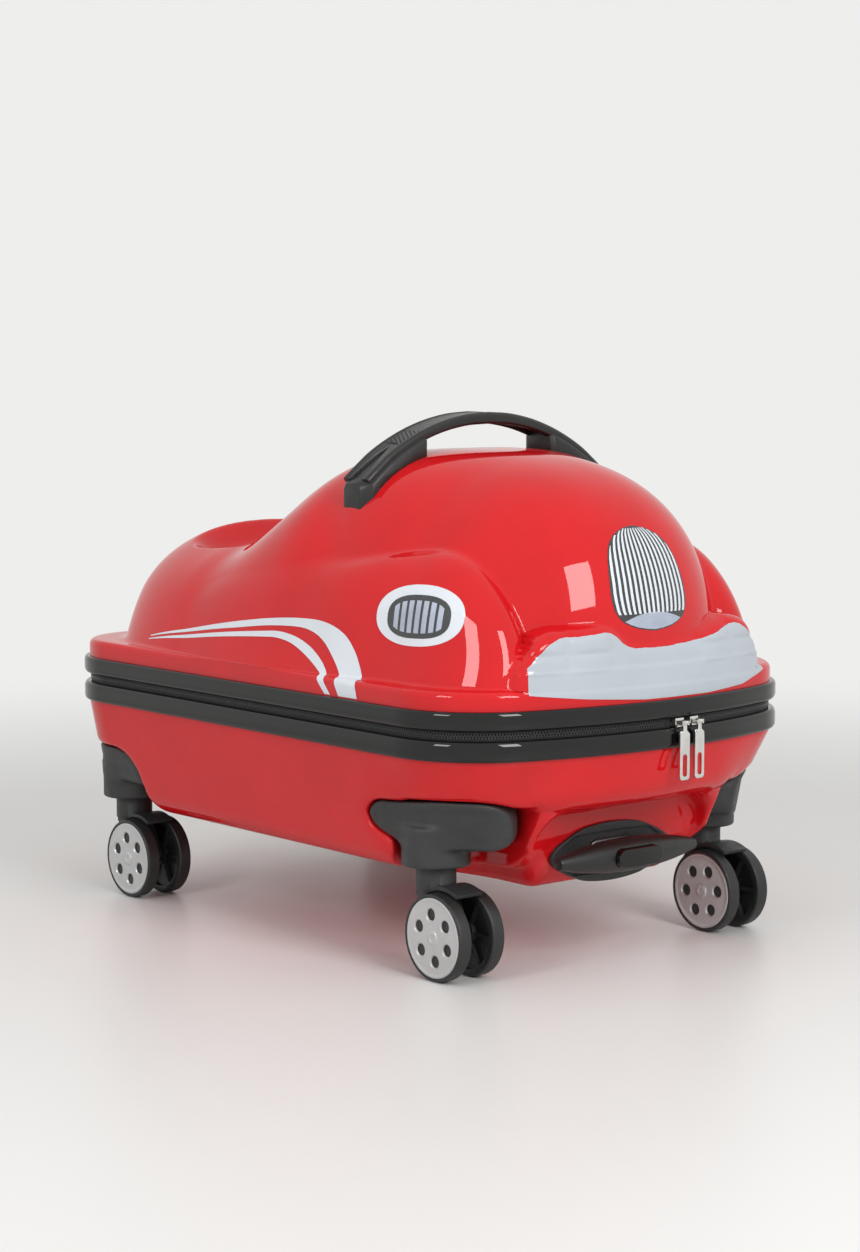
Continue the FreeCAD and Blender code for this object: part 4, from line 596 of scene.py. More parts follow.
def make_lid():
    """Points and faces of the lid's outer skin: car body, ledge and flange as one moulding."""
    climbs = np.pi / 2 * np.linspace(0, 1, CLIMBS) ** CLIMB_POWER
    body = body_points(np.linspace(0, np.pi, TURNS // 2 + 1), climbs)
    mirrored = body[-2:0:-1].copy()
    mirrored[..., 0] *= -1
    body = np.concatenate([body, mirrored])
    foot = np.hypot(body[:, 0, 0], body[:, 0, 1])
    edge = outline_reach(np.arctan2(body[:, 0, 0], body[:, 0, 1]), FLANGE_INSET)
    room = edge - foot
    unit = body[:, 0, :2] / foot[:, None]
    front = (unit[:, 1] < 0)[:, None]
    plan = np.hypot(body[..., 0], body[..., 1])
    fillet = np.clip(FILLET_SHARE * room, FILLET_LEAST, FILLET_MOST)[:, None]
    wider = plan + fillet * np.clip(1 - body[..., 2] / fillet, 0, 1) ** 2
    height = body[..., 2] + LEDGE
    bumper = bumper_reach(unit[:, None, 0] * wider, height, edge[:, None])
    bumper = soft_max(wider, bumper, BUMPER_BLEND)
    wider = np.where(front & (height < BUMPER_HIGH), bumper, wider)
    body[..., :2] *= (wider / np.maximum(plan, THIN))[..., None]
    body[..., 2] = height
    radius = np.minimum(EDGE_RADIUS, EDGE_SHARE * room)
    level = np.ones(TURNS)
    rows = [(edge - 0.35, FLANGE_BOTTOM * level), (edge, 171.8 * level), (edge, 178.0 * level)]
    for a in np.linspace(0, math.pi / 2, EDGE_STEPS + 1):
        rows.append((edge - radius * (1 - math.cos(a)), LEDGE - radius * (1 - math.sin(a))))
    for share in (0.35, 0.7):
        rows.append((edge - radius + (wider[:, 0] - edge + radius) * share, LEDGE * level))
    skirt = np.stack([np.stack([unit[:, 0] * r, unit[:, 1] * r, z], -1) for r, z in rows], 1)
    reach = np.hypot(skirt[..., 0], skirt[..., 1])
    bumper = np.maximum(reach, bumper_reach(skirt[..., 0], skirt[..., 2], edge[:, None]))
    lifted = np.where(front & (skirt[..., 2] > BUMPER_LOW), bumper, reach)
    skirt[..., :2] *= (lifted / reach)[..., None]
    verts = np.concatenate([skirt, body], 1)
    return verts.reshape(-1, 3), flipped(grid_faces(TURNS, verts.shape[1], close_rows=True))


def skirted(turns, body, inset, heights):
    """Points and faces of an inner skin with an upright skirt along the plan outline."""
    edge = outline_reach(turns, inset)
    unit = np.stack([np.sin(turns), np.cos(turns)], -1)
    skirt = [np.column_stack([unit * edge[:, None], np.full(len(turns), z)]) for z in heights]
    verts = np.concatenate([np.stack(skirt, 1), body], 1)
    return verts.reshape(-1, 3), grid_faces(len(turns), verts.shape[1], close_rows=True)


def make_lid_inside():
    turns = circle(240)
    body = body_points(turns, np.pi / 2 * np.linspace(0, 1, 80), inset=WALL)
    body[..., 2] += LEDGE
    verts, faces = skirted(turns, body, FLANGE_INSET + WALL, (FLANGE_BOTTOM, LEDGE - WALL))
    ride(make_object("lid_shell_inside", verts, faces, RED, sharp=50), "lid")


def make_lid_lining():
    turns = circle(300)
    climbs = np.pi / 2 * np.linspace(0, 1, 100) ** 1.3
    body = body_points(turns, climbs, inset=6.2, blend=14.0)
    t, c = np.meshgrid(turns, climbs, indexing="ij")
    folds = (1 + np.sin(9 * t + 5 * c) * np.sin(7 * c - 4 * t)) * np.clip(np.sin(2 * c), 0, 1)
    body *= (1 - 0.0035 * folds)[..., None]
    body[..., 2] += LEDGE - 1.0
    verts, faces = skirted(turns, body, 13.2, (183.0, 187.5))
    ride(make_object("lid_lining_cloth", verts, faces, LINING), "lid", "lining_upper")


lid_verts, lid_faces = make_lid()
lid_tree = BVHTree.FromPolygons([Vector(v) for v in lid_verts], lid_faces)
ride(make_object("lid_shell", lid_verts, lid_faces, RED, sharp=60), "lid", "upper_shell")
make_lid_inside()

# Printed decoration, laid on the lid by casting rays
PRINT_LIFT, SLAT_LIFT, RING_LIFT, FLUTE_LIFT = 0.22, 0.36, 0.34, 0.46
CAST_FROM, REARWARD = 400, (0, 1, 0)


def decal(name, grid, direction, mat, lift=PRINT_LIFT, close_columns=False):
    """Patch from a grid of points, cast on to the lid along a direction and lifted off its skin."""
    way = Vector(direction).normalized()
    verts = []
    for point in (p for row in grid for p in row):
        place, normal, _, _ = lid_tree.ray_cast(Vector(point) - way * CAST_FROM, way)
        verts.append(tuple(place - normal * math.copysign(lift, normal.dot(way))))
    faces = grid_faces(len(grid), len(grid[0]), close_columns=close_columns)
    obj = make_object(name, verts, faces, mat)
    facing = sum((p.normal * p.area for p in obj.data.polygons), Vector())
    if facing.dot(way) > 0:
        obj.data.flip_normals()
    ride(obj, "lid")


def make_bumper_paint():
    xs = np.linspace(-103.5, 115.5, 260)
    rough = 0.12 * np.sin(xs * 0.4) + 0.08 * np.sin(xs * 1.1 + 1.1)
    low, high = paint_bottom(xs), paint_top(xs) + rough
    grid = [[(x, 0, a + (b - a) * t) for x, a, b in zip(xs, low, high)] for t in np.linspace(0, 1, 44)]
    decal("bumper_paint", grid, REARWARD, GREY_PRINT)


# Heights and half widths of the grille's egg-shaped edge
EGG = [(226.0, 0.5), (226.6, 7), (228, 15), (230, 21), (232.5, 26), (235, 29), (240, 32), (246, 33.3),
       (252, 33.5), (265, 32), (274, 29.8), (280, 27.3), (285, 23.5), (289, 18.5), (291.8, 12),
       (293.4, 6), (294.0, 0.5)]
EGG_BOTTOM, EGG_HEIGHT, EGG_WIDEST, GRILLE_LIP = 226.0, 68.0, 0.42, 0.15
SLATS, SLAT_SHARE, SLAT_MARGIN, SLAT_LEAST = 15, 0.5, 1.1, 1.5
SLAT_FAN, FAN_HALF_WIDTH = 0.72, 33.0


def egg_z(share):
    return EGG_BOTTOM + EGG_HEIGHT * share


def egg(share):
    """Half width and height of the grille at a share from its bottom to its top."""
    return np.interp(egg_z(share), *zip(*EGG)), egg_z(share)


def bottom_of_egg(x):
    """Share of the grille's height where its lower edge reaches a half width."""
    low, high = 0.0, EGG_WIDEST
    for _ in range(30):
        middle = (low + high) / 2
        if egg(middle)[0] < x:
            low = middle
        else:
            high = middle
    return high


def make_slat(k):
    """Upright bar of the grille; the bars fan out where the grille is wide."""
    u, share = (k + 0.5) / SLATS * 2 - 1, SLAT_SHARE / SLATS
    rows = []
    for t in np.linspace(GRILLE_LIP + 0.02, 0.975, 44):
        half, z = egg(t)
        half -= SLAT_MARGIN
        fan = SLAT_FAN * half + (1 - SLAT_FAN) * FAN_HALF_WIDTH
        ends = (u - share) * fan, (u + share) * fan
        if half < SLAT_LEAST or min(abs(x) for x in ends) > half:
            continue
        x0, x1 = np.clip(ends, -half, half)
        rows.append([(x0 + (x1 - x0) * s, 0, z) for s in (0, 0.5, 1)])
    if len(rows) > 2:
        decal(f"grille_slat_{k}", rows, REARWARD, WHITE_PRINT, SLAT_LIFT)


def make_grille():
    back = []
    for half, z in map(egg, np.linspace(0.0, 1.0, 60)):
        back.append([(u * half, 0, z) for u in np.linspace(-1, 1, 40)])
    decal("grille_back", back, REARWARD, DARK_PRINT)
    for k in range(SLATS):
        make_slat(k)
    half = egg(GRILLE_LIP * 0.8)[0] - 1.5
    rows = []
    for s in np.linspace(0, 1, 12):
        row = []
        for u in np.linspace(-1, 1, 40):
            low = egg_z(bottom_of_egg(abs(u * half))) + 0.9
            high = egg_z(GRILLE_LIP + 0.03 * (1 - u * u)) - 4.0 * u * u
            row.append((u * half, 0, low + max(high - low, 0.05) * s))
        rows.append(row)
    decal("grille_lip", rows, REARWARD, SILVER_PRINT, SLAT_LIFT)


# Edges of the left side's two stripes, from the rear tip to the rim
STRIPES = {
    "wide": ([(-143, 139, 199.5), (-146, 81, 210.7), (-147.5, 28.5, 219.3), (-147, -10, 224.3),
              (-145.7, -46, 227.8), (-145.6, -71, 227.7), (-145.6, -89.6, 222.5),
              (-146, -101.4, 212.7), (-149, -110.5, 201.5), (-153.8, -116, 194.5),
              (-157.5, -118.5, 190), (-157.5, -121, 181.4)],
             [(-143, 139, 198.5), (-146.3, 81, 207.8), (-148.5, 27, 215.2), (-147.8, -11, 219.6),
              (-146.3, -43.6, 221.5), (-146.3, -60, 219.6), (-146.4, -72, 214), (-147.5, -82, 205.5),
              (-150.2, -90, 198.6), (-154, -94.5, 194.2), (-157.5, -96, 190), (-157.5, -101, 181.4)]),
    "narrow": ([(-142, 141, 195.6), (-146.2, 88.7, 204.3), (-148.3, 36, 210.9), (-148.4, -3.8, 215),
                (-146.7, -24.6, 215.8), (-146.7, -43, 214), (-147.2, -58, 209.3), (-148.4, -70, 203),
                (-150.8, -78, 197.6), (-154, -82, 194), (-157.5, -84.5, 190), (-157.5, -92, 181.4)],
               [(-142, 141, 194.8), (-146.2, 88.7, 201.4), (-148.7, 35.5, 207.5),
                (-148.8, -4.3, 210.9), (-147.2, -21.8, 211), (-147.2, -37.5, 209.2),
                (-148, -51, 204.6), (-149.4, -62, 199.8), (-151.6, -70.5, 196),
                (-154.3, -75.5, 193.8), (-157.5, -77.5, 190), (-157.5, -86, 181.4)]),
}


def make_stripe(name, upper, lower, side):
    """Side stripe between two edge paths, laid on from outside and above."""
    a, b = curve_through(upper, 150), curve_through(lower, 150)
    grid = [[(side * -x, y, z) for x, y, z in a + (b - a) * s] for s in np.linspace(0, 1, 7)]
    decal(f"stripe_{name}_{SIDES[side]}", grid, (-side * 0.8, 0, -0.6), WHITE_PRINT)


# Headlamps, seen along the lamp's axis; the lower half is a little flatter
LAMP_FLATTER, LAMP_DROP = 0.9, -0.6
FLUTES, FLUTE_PITCH, FLUTE_HALF_WIDTH = 7, 6.2, 2.05
LENS_HALF_WIDTH, LENS_HALF_HEIGHT, LENS_POWER = 23.4, 11.4, 2.6


def make_lamp(side):
    """Printed headlamp on a fender: white surround, dark ring and a fluted pale lens."""
    inward = Vector((-side * 0.93, 0.27, -0.24)).normalized()
    across = Vector((0, 0, 1)).cross(inward).normalized()
    up = inward.cross(across)
    if up.z < 0:
        up = -up
    centre = Vector((side * 133.5, -154.5, 237.0))

    def place(a, b, drop):
        return centre + across * a + up * (b * (1 if b > 0 else LAMP_FLATTER) + drop)

    def patch(name, half_wide, half_high, power, drop, mat, lift):
        rim = []
        for angle in circle(72):
            c, s = math.cos(angle), math.sin(angle)
            rim.append((half_wide * math.copysign(abs(c) ** (2 / power), c),
                        half_high * math.copysign(abs(s) ** (2 / power), s)))
        grid = [[place(a * f, b * f, drop) for a, b in rim] for f in np.linspace(0.02, 1, 12)]
        decal(f"{name}_{SIDES[side]}", grid, inward, mat, lift, close_columns=True)

    patch("lamp_surround", 36.3, 21.6, 2.25, 0, WHITE_PRINT, PRINT_LIFT)
    patch("lamp_ring", 26.5, 15.2, 2.6, LAMP_DROP, DARK_PRINT, RING_LIFT)
    for k in range(FLUTES):
        edges = []
        for s in (-1, 0, 1):
            a = (k - FLUTES // 2) * FLUTE_PITCH + s * FLUTE_HALF_WIDTH
            edges.append((a, LENS_HALF_HEIGHT * closing(abs(a), LENS_HALF_WIDTH, LENS_POWER)))
        rows = [[place(a, t * b, LAMP_DROP) for a, b in edges] for t in np.linspace(-1, 1, 15)]
        decal(f"lamp_flute_{SIDES[side]}_{k}", rows, inward, SILVER_PRINT, FLUTE_LIFT)


make_bumper_paint()
make_grille()
for lamp_side in SIDES:
    make_lamp(lamp_side)
    for stripe, (top_edge, low_edge) in STRIPES.items():
        make_stripe(stripe, top_edge, low_edge, lamp_side)

# Lower shell: fields of distances, negative inside; its front corners are cut under the overhang
TUB_TOP, TUB_BOTTOM, TUB_TAPER, TUB_RADIUS = 146.0, 68.0, 14.0, 16.0
CORNER_CUT, CORNER_CUT_HEIGHT = 11.0, 36.0
PARTING, LINING_GAP, SHELL_TOP, LINING_TOP = 83.0, 4.1, 157.0, 147.6
POCKET_RADIUS, LOBE_RADIUS, LOBE_IN, LOBE_AHEAD, LOBE_BLEND = 48.0, 32.0, 10.0, 20.0, 15.0
INSERT_LOW, INSERT_RISE, INSERT_TOP, INSERT_CROWN, INSERT_RADIUS = 84.5, 10.0, 115.5, 4.0, 13.0
CONE_RADIUS, CONE_LOW, CONE_TOP, CONE_EDGE, CONE_SLOPE = 64.0, 52.0, 114.0, 15.0, -20.0 / 61.0
THROAT_RADIUS, THROAT_TOP, AHEAD_TOP, AHEAD_DROP = 27.0, 96.0, 117.0, 3.0
NICHE_Y, NICHE_HALF_WIDTH, NICHE_TOP = 196.0, 78.0, 108.0
RIB_WIDTH, RIB_LOW, RIB_SLANT = 9.0, 60.0, 0.6
KEEL_HALF_WIDTH, KEEL_WIDER, KEEL_Y, KEEL_HALF_LENGTH = 64.0, 14.0, 2.0, 212.0
KEEL_BOTTOM, KEEL_TOP, KEEL_RADIUS, HUMP_HALF_WIDTH, HUMP_TOP = 52.0, 92.0, 10.0, 28.2, 88.2
NET_PROBE, NET_ROUNDS, NET_SLOPE = 0.05, 3, 0.2


def outline_distance(x, y):
    ax = np.abs(x)
    d = np.maximum(np.maximum(ax - HALF_WIDTH, y - HALF_LENGTH), np.hypot(x, y - BOW_Y) - BOW_RADIUS)
    rear = (ax > REAR_X) & (y > REAR_Y)
    d = np.where(rear, np.hypot(ax - REAR_X, y - REAR_Y) - REAR_CORNER, d)
    qx, qy = ax - FRONT_X, y - FRONT_Y
    front = (qy <= 0) & (qx * math.cos(BOW_ANGLE) + qy * math.sin(BOW_ANGLE) >= 0)
    return np.where(front, np.hypot(qx, qy) - FRONT_CORNER, d)


def round_max(a, b, radius):
    """Meeting of two half spaces with a rounded edge of a radius."""
    a, b = a + radius, b + radius
    return np.hypot(np.maximum(a, 0), np.maximum(b, 0)) + np.minimum(np.maximum(a, b), 0) - radius


def smooth_min(a, b, width):
    return -soft_max(-a, -b, width)


def tub(x, y, z, grow):
    below = TUB_TOP - z
    corner = smooth(60.0, 120.0, np.abs(x)) * smooth(-120.0, -200.0, y)
    inset = FLANGE_INSET + grow + TUB_TAPER * np.clip(below / (TUB_TOP - TUB_BOTTOM), 0, 1)
    inset = inset + CORNER_CUT * corner * np.clip(below / CORNER_CUT_HEIGHT, 0, 1)
    return round_max(outline_distance(x, y) + inset, TUB_BOTTOM + grow - z, TUB_RADIUS - grow)


def front_insert(x, y, z, grow, cx, cy):
    """Form of a front housing: round its swivel axis, a lobe ahead, its bottom rising to the rear."""
    lobe = np.hypot(x - cx + math.copysign(LOBE_IN, cx), y - cy + LOBE_AHEAD) - LOBE_RADIUS
    plan = smooth_min(np.hypot(x - cx, y - cy) - POCKET_RADIUS, lobe, LOBE_BLEND)
    low = INSERT_LOW + INSERT_RISE * smooth(cy + 2, cy + 38, y)
    top = INSERT_TOP + INSERT_CROWN * smooth(cy + 30, cy - 30, y)
    upright = np.abs(z - (low + top) / 2) - (top - low) / 2
    return round_max(plan - grow, upright - grow, INSERT_RADIUS)


def pocket(x, y, z, grow, cx, cy):
    """Room for a caster's housing: a cone at the rear, open to the front and below at the front."""
    away = np.hypot(x - cx, y - cy)
    if cy > 0:
        side = (away - CONE_RADIUS - CONE_SLOPE * (z - CONE_LOW) - grow) / math.hypot(1, CONE_SLOPE)
        return round_max(side, z - CONE_TOP - grow, CONE_EDGE)
    throat = np.maximum(away - THROAT_RADIUS - grow, z - THROAT_TOP)
    ahead = round_max(PARTING - grow - np.abs(x), y - cy - 6.0 - grow, 14.0)
    roof = z - AHEAD_TOP + AHEAD_DROP * smooth(120, 90, np.abs(x)) - grow
    ahead = round_max(ahead, roof, 7.0)
    return smooth_min(smooth_min(front_insert(x, y, z, grow, cx, cy), throat, 6.0), ahead, 5.0)


def pockets(x, y, z, grow):
    return np.minimum.reduce([pocket(x, y, z, grow, cx, cy) for cx, cy in CASTERS.values()])


def niche(x, y, z, grow):
    """Recess under the nose, with ribs that slant back at its sides."""
    flat = round_max(np.abs(x) - NICHE_HALF_WIDTH - grow, z - NICHE_TOP - grow, 20.0)
    leaning = y + NICHE_Y + RIB_SLANT * np.clip(z - RIB_LOW, 0, 60) - grow
    slant = round_max(np.abs(x) - PARTING - RIB_WIDTH - grow, leaning, 9.0)
    slant = np.maximum(slant, z - NICHE_TOP + 1.0 - grow)
    return smooth_min(round_max(flat, y + NICHE_Y - grow, 8.0), slant, 6.0)


def keel(x, y, z):
    half = KEEL_HALF_WIDTH + KEEL_WIDER * smooth(-150.0, -60.0, y)
    plan = round_max(np.abs(x) - half, np.abs(y - KEEL_Y) - KEEL_HALF_LENGTH, KEEL_RADIUS)
    return np.maximum(round_max(plan, KEEL_BOTTOM - z, KEEL_RADIUS), z - KEEL_TOP)


def lower_field(x, y, z):
    d = smooth_min(tub(x, y, z, 0.0), keel(x, y, z), 9.0)
    d = soft_max(d, -niche(x, y, z, 0.0), 20.0)
    d = soft_max(d, -pockets(x, y, z, 0.0), 5.0)
    return np.maximum(d, z - SHELL_TOP)


def lower_lining_field(x, y, z):
    d = soft_max(tub(x, y, z, LINING_GAP), -pockets(x, y, z, LINING_GAP), 8.0)
    d = soft_max(d, -niche(x, y, z, LINING_GAP), 10.0)
    d = soft_max(d, -np.maximum(np.abs(x) - HUMP_HALF_WIDTH, z - HUMP_TOP), 5.0)
    crease = 0.35 * np.sin(0.047 * x + 0.019 * y + 0.05 * z) * np.sin(0.031 * y - 0.013 * x + 1.3)
    return np.maximum(d + 0.5 + crease, z - LINING_TOP)


def surface_net(field, low, high, step):
    """Points and faces of a field's zero level, moved on to it along the field's own slope."""
    axes = [np.arange(a, b + step, step) for a, b in zip(low, high)]
    value = field(*np.meshgrid(*axes, indexing="ij", sparse=True))
    inside = value < 0
    shape = np.array(value.shape) - 1
    total = np.zeros((*shape, 3))
    count = np.zeros(shape)

    def shifted(corner):
        return value[tuple(slice(o, o + n) for o, n in zip(corner, shape))]

    for a in np.ndindex(2, 2, 2):
        for axis in range(3):
            if a[axis]:
                continue
            b = tuple(o + (m == axis) for m, o in enumerate(a))
            va, vb = shifted(a), shifted(b)
            crosses = (va < 0) != (vb < 0)
            t = np.where(crosses, va / np.where(crosses, va - vb, 1), 0)
            for m in range(3):
                total[..., m] += np.where(crosses, a[m] + (t if m == axis else 0), 0)
            count += crosses
    used = count > 0
    index = np.full(shape, -1)
    index[used] = np.arange(used.sum())
    points = (np.argwhere(used) + total[used] / count[used][:, None]) * step + np.array(low)
    for _ in range(NET_ROUNDS):
        here = field(*points.T)
        probes = [field(*(points + NET_PROBE * way).T) for way in np.eye(3)]
        slope = (np.stack(probes, -1) - here[:, None]) / NET_PROBE
        move = here[:, None] * slope / np.maximum((slope ** 2).sum(1), NET_SLOPE)[:, None]
        points -= np.clip(move, -step, step)
    faces = []
    for axis in range(3):
        u, v = (axis + 1) % 3, (axis + 2) % 3
        for cell in np.argwhere(np.diff(inside, axis=axis)):
            if min(cell[u], cell[v]) == 0 or cell[u] > shape[u] - 1 or cell[v] > shape[v] - 1:
                continue
            quad = []
            for du, dv in ((1, 1), (0, 1), (0, 0), (1, 0)):
                c = cell.copy()
                c[u] -= du
                c[v] -= dv
                quad.append(index[tuple(c)])
            ahead = cell.copy()
            ahead[axis] += 1
            faces.append(tuple(reversed(quad)) if inside[tuple(ahead)] else tuple(quad))
    return points, faces


def open_net(field, low, high, step, top):
    """A field's surface without the flat cap that closes it above a height."""
    points, faces = surface_net(field, low, high, step)
    return points, [f for f in faces if not all(points[i][2] > top for i in f)]


def make_lower_shell():
    points, faces = open_net(lower_field, (-164, -252, 46), (164, 252, 160), 2.4, SHELL_TOP - 2.0)
    ride(make_object("lower_shell_outside", points, faces, RED), "base", "lower_shell")
    low, high = (-162, -250, 60), (162, 250, 150)
    points, faces = open_net(lower_lining_field, low, high, 3.4, LINING_TOP - 1.4)
    ride(make_object("lower_lining_cloth", points, flipped(faces), LINING), "base", "lining_lower")


make_lower_shell()
make_lid_lining()

# Rims, zip and hinge; the zip's depths are out from the rims' face
HINGE_FRONT, HINGE_REAR, HINGE_HALF_HEIGHT, HINGE_THICK = -149.5, 179.5, 5.95, 0.9
TAPE_OUT, TAPE_IN, TAPE_HEIGHT = -5.2, -7.3, 2.1
TOOTH_OUT, TOOTH_IN, TOOTH_PITCH = -4.75, -7.2, 2.2
TOOTH = [(-0.42, 1.2), (-0.42, 2.3), (-0.62, 2.7), (-0.5, 3.35), (0.5, 3.35), (0.62, 2.7), (0.42, 2.3),
         (0.42, 1.2)]


def make_rims():
    points, normals = outline(3.0)
    lower = [(-RIM_DEPTH, RIM_BOTTOM), (-1.0, RIM_BOTTOM), (0, 150.2), (0, 158.6),
             (-1.5, LOWER_RIM_TOP), (-RIM_DEPTH, LOWER_RIM_TOP)]
    upper = [(-RIM_DEPTH, UPPER_RIM_BOTTOM), (-1.5, UPPER_RIM_BOTTOM), (0, 170.6), (0, 178.4),
             (-1.2, UPPER_RIM_TOP), (-RIM_DEPTH, UPPER_RIM_TOP)]
    for name, body, profile in (("lower_rim", "base", lower), ("upper_rim", "lid", upper)):
        verts, faces = swept(points, normals, rounded(profile, 1.3))
        ride(make_object(f"{name}_band", verts, faces, RIM_BLACK, sharp=50), body, name)


def zip_path(step):
    """The zip's way along the rims, from behind the hinge round the case to in front of it."""
    points, normals = outline(step)
    x, y = points.T
    hinge = (x > HALF_WIDTH - 1) & (y > HINGE_FRONT - 0.9) & (y < HINGE_REAR + 0.9)
    start = int(np.argwhere(hinge).max()) + 1
    count = len(points) - int(hinge.sum())
    return np.roll(points, -start, 0)[:count], np.roll(normals, -start, 0)[:count]


def even_path(points, normals, pitch):
    """Places and outward normals at an even pitch along a path."""
    length = np.concatenate([[0], np.cumsum(np.hypot(*np.diff(points, axis=0).T))])
    at = np.arange(pitch, length[-1] - pitch, pitch)
    place, out = (np.column_stack([np.interp(at, length, values[:, k]) for k in (0, 1)])
                  for values in (points, normals))
    return place, out / np.hypot(out[:, :1], out[:, 1:])


def make_zip():
    points, normals = zip_path(2.0)
    place, out = even_path(points, normals, TOOTH_PITCH / 2)
    count = len(TOOTH)
    for first, (name, body, base, way) in enumerate((("lower", "base", LOWER_RIM_TOP, 1),
                                                     ("upper", "lid", UPPER_RIM_BOTTOM, -1))):
        top = base + way * TAPE_HEIGHT
        tape = rounded([(TAPE_IN, base), (TAPE_OUT, base), (TAPE_OUT, top), (TAPE_IN, top)], 0.3, 2)
        verts, faces = swept(points, normals, tape[::way], closed=False)
        ride(make_object(f"zip_{name}_tape", verts, faces, TAPE, sharp=60), body, f"zip_tape_{name}")
        verts, faces = [], []
        for p, n in zip(place[first::2], out[first::2]):
            start = len(verts)
            along = np.array([-n[1], n[0]])
            for depth in (TOOTH_OUT, TOOTH_IN):
                verts += [(*(p + n * depth + along * s), base + way * h) for s, h in TOOTH]
            faces += grid_faces(2, count, close_columns=True, start=start)
            faces += [tuple(range(start, start + count)),
                      tuple(reversed(range(start + count, start + 2 * count)))]
        ride(make_object(f"zip_{name}_teeth", verts, faces, TEETH, sharp=30), body)


def make_hinge():
    ys = np.linspace(HINGE_FRONT, HINGE_REAR, 160)
    zs = np.linspace(SEAM - HINGE_HALF_HEIGHT, SEAM + HINGE_HALF_HEIGHT, 15)
    verts = []
    for depth in (0.0, HINGE_THICK):
        for y in ys:
            for z in zs:
                rib = 0.12 * math.sin(y * 1.9) * math.exp(-((z - SEAM) / 3.0) ** 2)
                hug = 0.35 * smooth(3.2, 5.5, abs(z - SEAM))
                verts.append((HALF_WIDTH + hug + rib - depth, y, z))
    rows, columns = len(ys), len(zs)
    far = rows * columns
    faces = grid_faces(rows, columns) + flipped(grid_faces(rows, columns, start=far))
    number = np.arange(far).reshape(rows, columns)
    edge = [*number[:, 0], *number[-1, 1:], *number[-2::-1, -1], *number[0, -2:0:-1]]
    faces += [(b, a, a + far, b + far) for a, b in zip(edge, edge[1:] + edge[:1])]
    tape = make_object("hinge_cloth", verts, faces, TAPE, sharp=50)
    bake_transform(tape)
    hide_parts("hinge_tape_lower", "hinge_tape_upper")


make_rims()
make_zip()
make_hinge()

# Carry handle: the strap's top line (across, up), half plans (across, half depth) of slot and foot
HANDLE_Y, STRAP_END = -58.0, 110.0
STRAP_TOP = [(0, 366.4), (20, 365.1), (40, 361.2), (58, 355.4), (74, 348.2), (88, 340.2), (100, 331.2),
             (STRAP_END, 323.0)]
SLOT_PLAN = [(77, 0), (84, 2.6), (96, 5.4), (104, 6.4), (116, 6.6)]
FOOT_PLAN = [(56.5, 11.5), (58.5, 15.2), (62, 15.8), (70, 15.8), (80, 15.9), (90, 15.9), (100, 15.9),
             (106, 15.4), (112.6, 9.0)]
FOOT_DROP, FOOT_END, FOOT_END_TOP, FOOT_LEAST, FOOT_SINK = 3.4, 104, 324.5, 0.8, 0.4
DOT_RINGS, DOT_SIDES = ((0.85, -0.3), (0.5, 0.45)), 8


def strap_section(share):
    """Section across the strap (front to rear, up) at a share from the middle to the end."""
    half = 13.9 - 0.6 * math.sin(math.pi * share)
    under = 1.6 * share - 8.4
    inner = under + 2.0 + 1.5 * (1 - share)
    low = [(half, under + 1.2), (half - 2.0, under), (half - 4.2, under), (half - 4.6, inner)]
    high = [(half, -1.8), (half - 1.5, -0.1), (half - 3.4, 0.0), (half - 3.9, -0.7)]
    corners = [(-y, h) for y, h in low] + low[::-1] + high + [(-y, h) for y, h in high[::-1]]
    return rounded(corners, 0.8, 2)


def prism(name, loop, low, high):
    """Upright closed block over a plan loop, used as a cutting tool."""
    rings = [[(x, y, z) for x, y in loop] for z in (low, high)]
    obj = make_object(name, *lofted(rings), HANDLE_BLACK)
    fix_normals(obj)
    return obj


def make_strap():
    side = curve_through(STRAP_TOP, 46)
    path = np.vstack([side[:0:-1] * (-1, 1), side])
    way = np.gradient(path, axis=0)
    way /= np.hypot(way[:, :1], way[:, 1:])
    rings = []
    for (x, z), (along, climb) in zip(path, way):
        section = strap_section(min(abs(x) / STRAP_END, 1))
        rings.append([(x - climb * h, HANDLE_Y + y, z + along * h) for y, h in section])
    strap = make_object("carry_strap", *lofted(rings), HANDLE_BLACK)
    fix_normals(strap)
    tools = []
    for s in SIDES:
        loop = [(s * x, HANDLE_Y + w) for x, w in SLOT_PLAN]
        loop += [(s * x, HANDLE_Y - w) for x, w in SLOT_PLAN[:0:-1]]
        tools.append(prism("slot_tool", loop, 290, 380))
    cut_away(strap, *tools)
    clean(strap, 0.5, angle=38)
    ride(strap, "lid", "carry_grip")
    verts, faces = [], []
    for s, i, j in ((s, i, j) for s in SIDES for i in range(6) for j in range(7)):
        x, y = 60 + i * 3.1 + (j % 2) * 1.5, HANDLE_Y + (j - 3) * 2.5
        top = float(np.interp(x, side[:, 0], side[:, 1])) - 0.75
        faces += grid_faces(2, DOT_SIDES, close_columns=True, start=len(verts))
        for r, h in DOT_RINGS:
            verts += [(s * x + r * math.cos(a), y + r * math.sin(a), top + h) for a in circle(DOT_SIDES)]
        faces.append(tuple(range(len(verts) - DOT_SIDES, len(verts))))
    ride(make_object("carry_strap_dots", verts, faces, HANDLE_BLACK, sharp=40), "lid")


def skin_height(x, y):
    return lid_tree.ray_cast(Vector((x, y, 420.0)), Vector((0, 0, -1)))[0].z


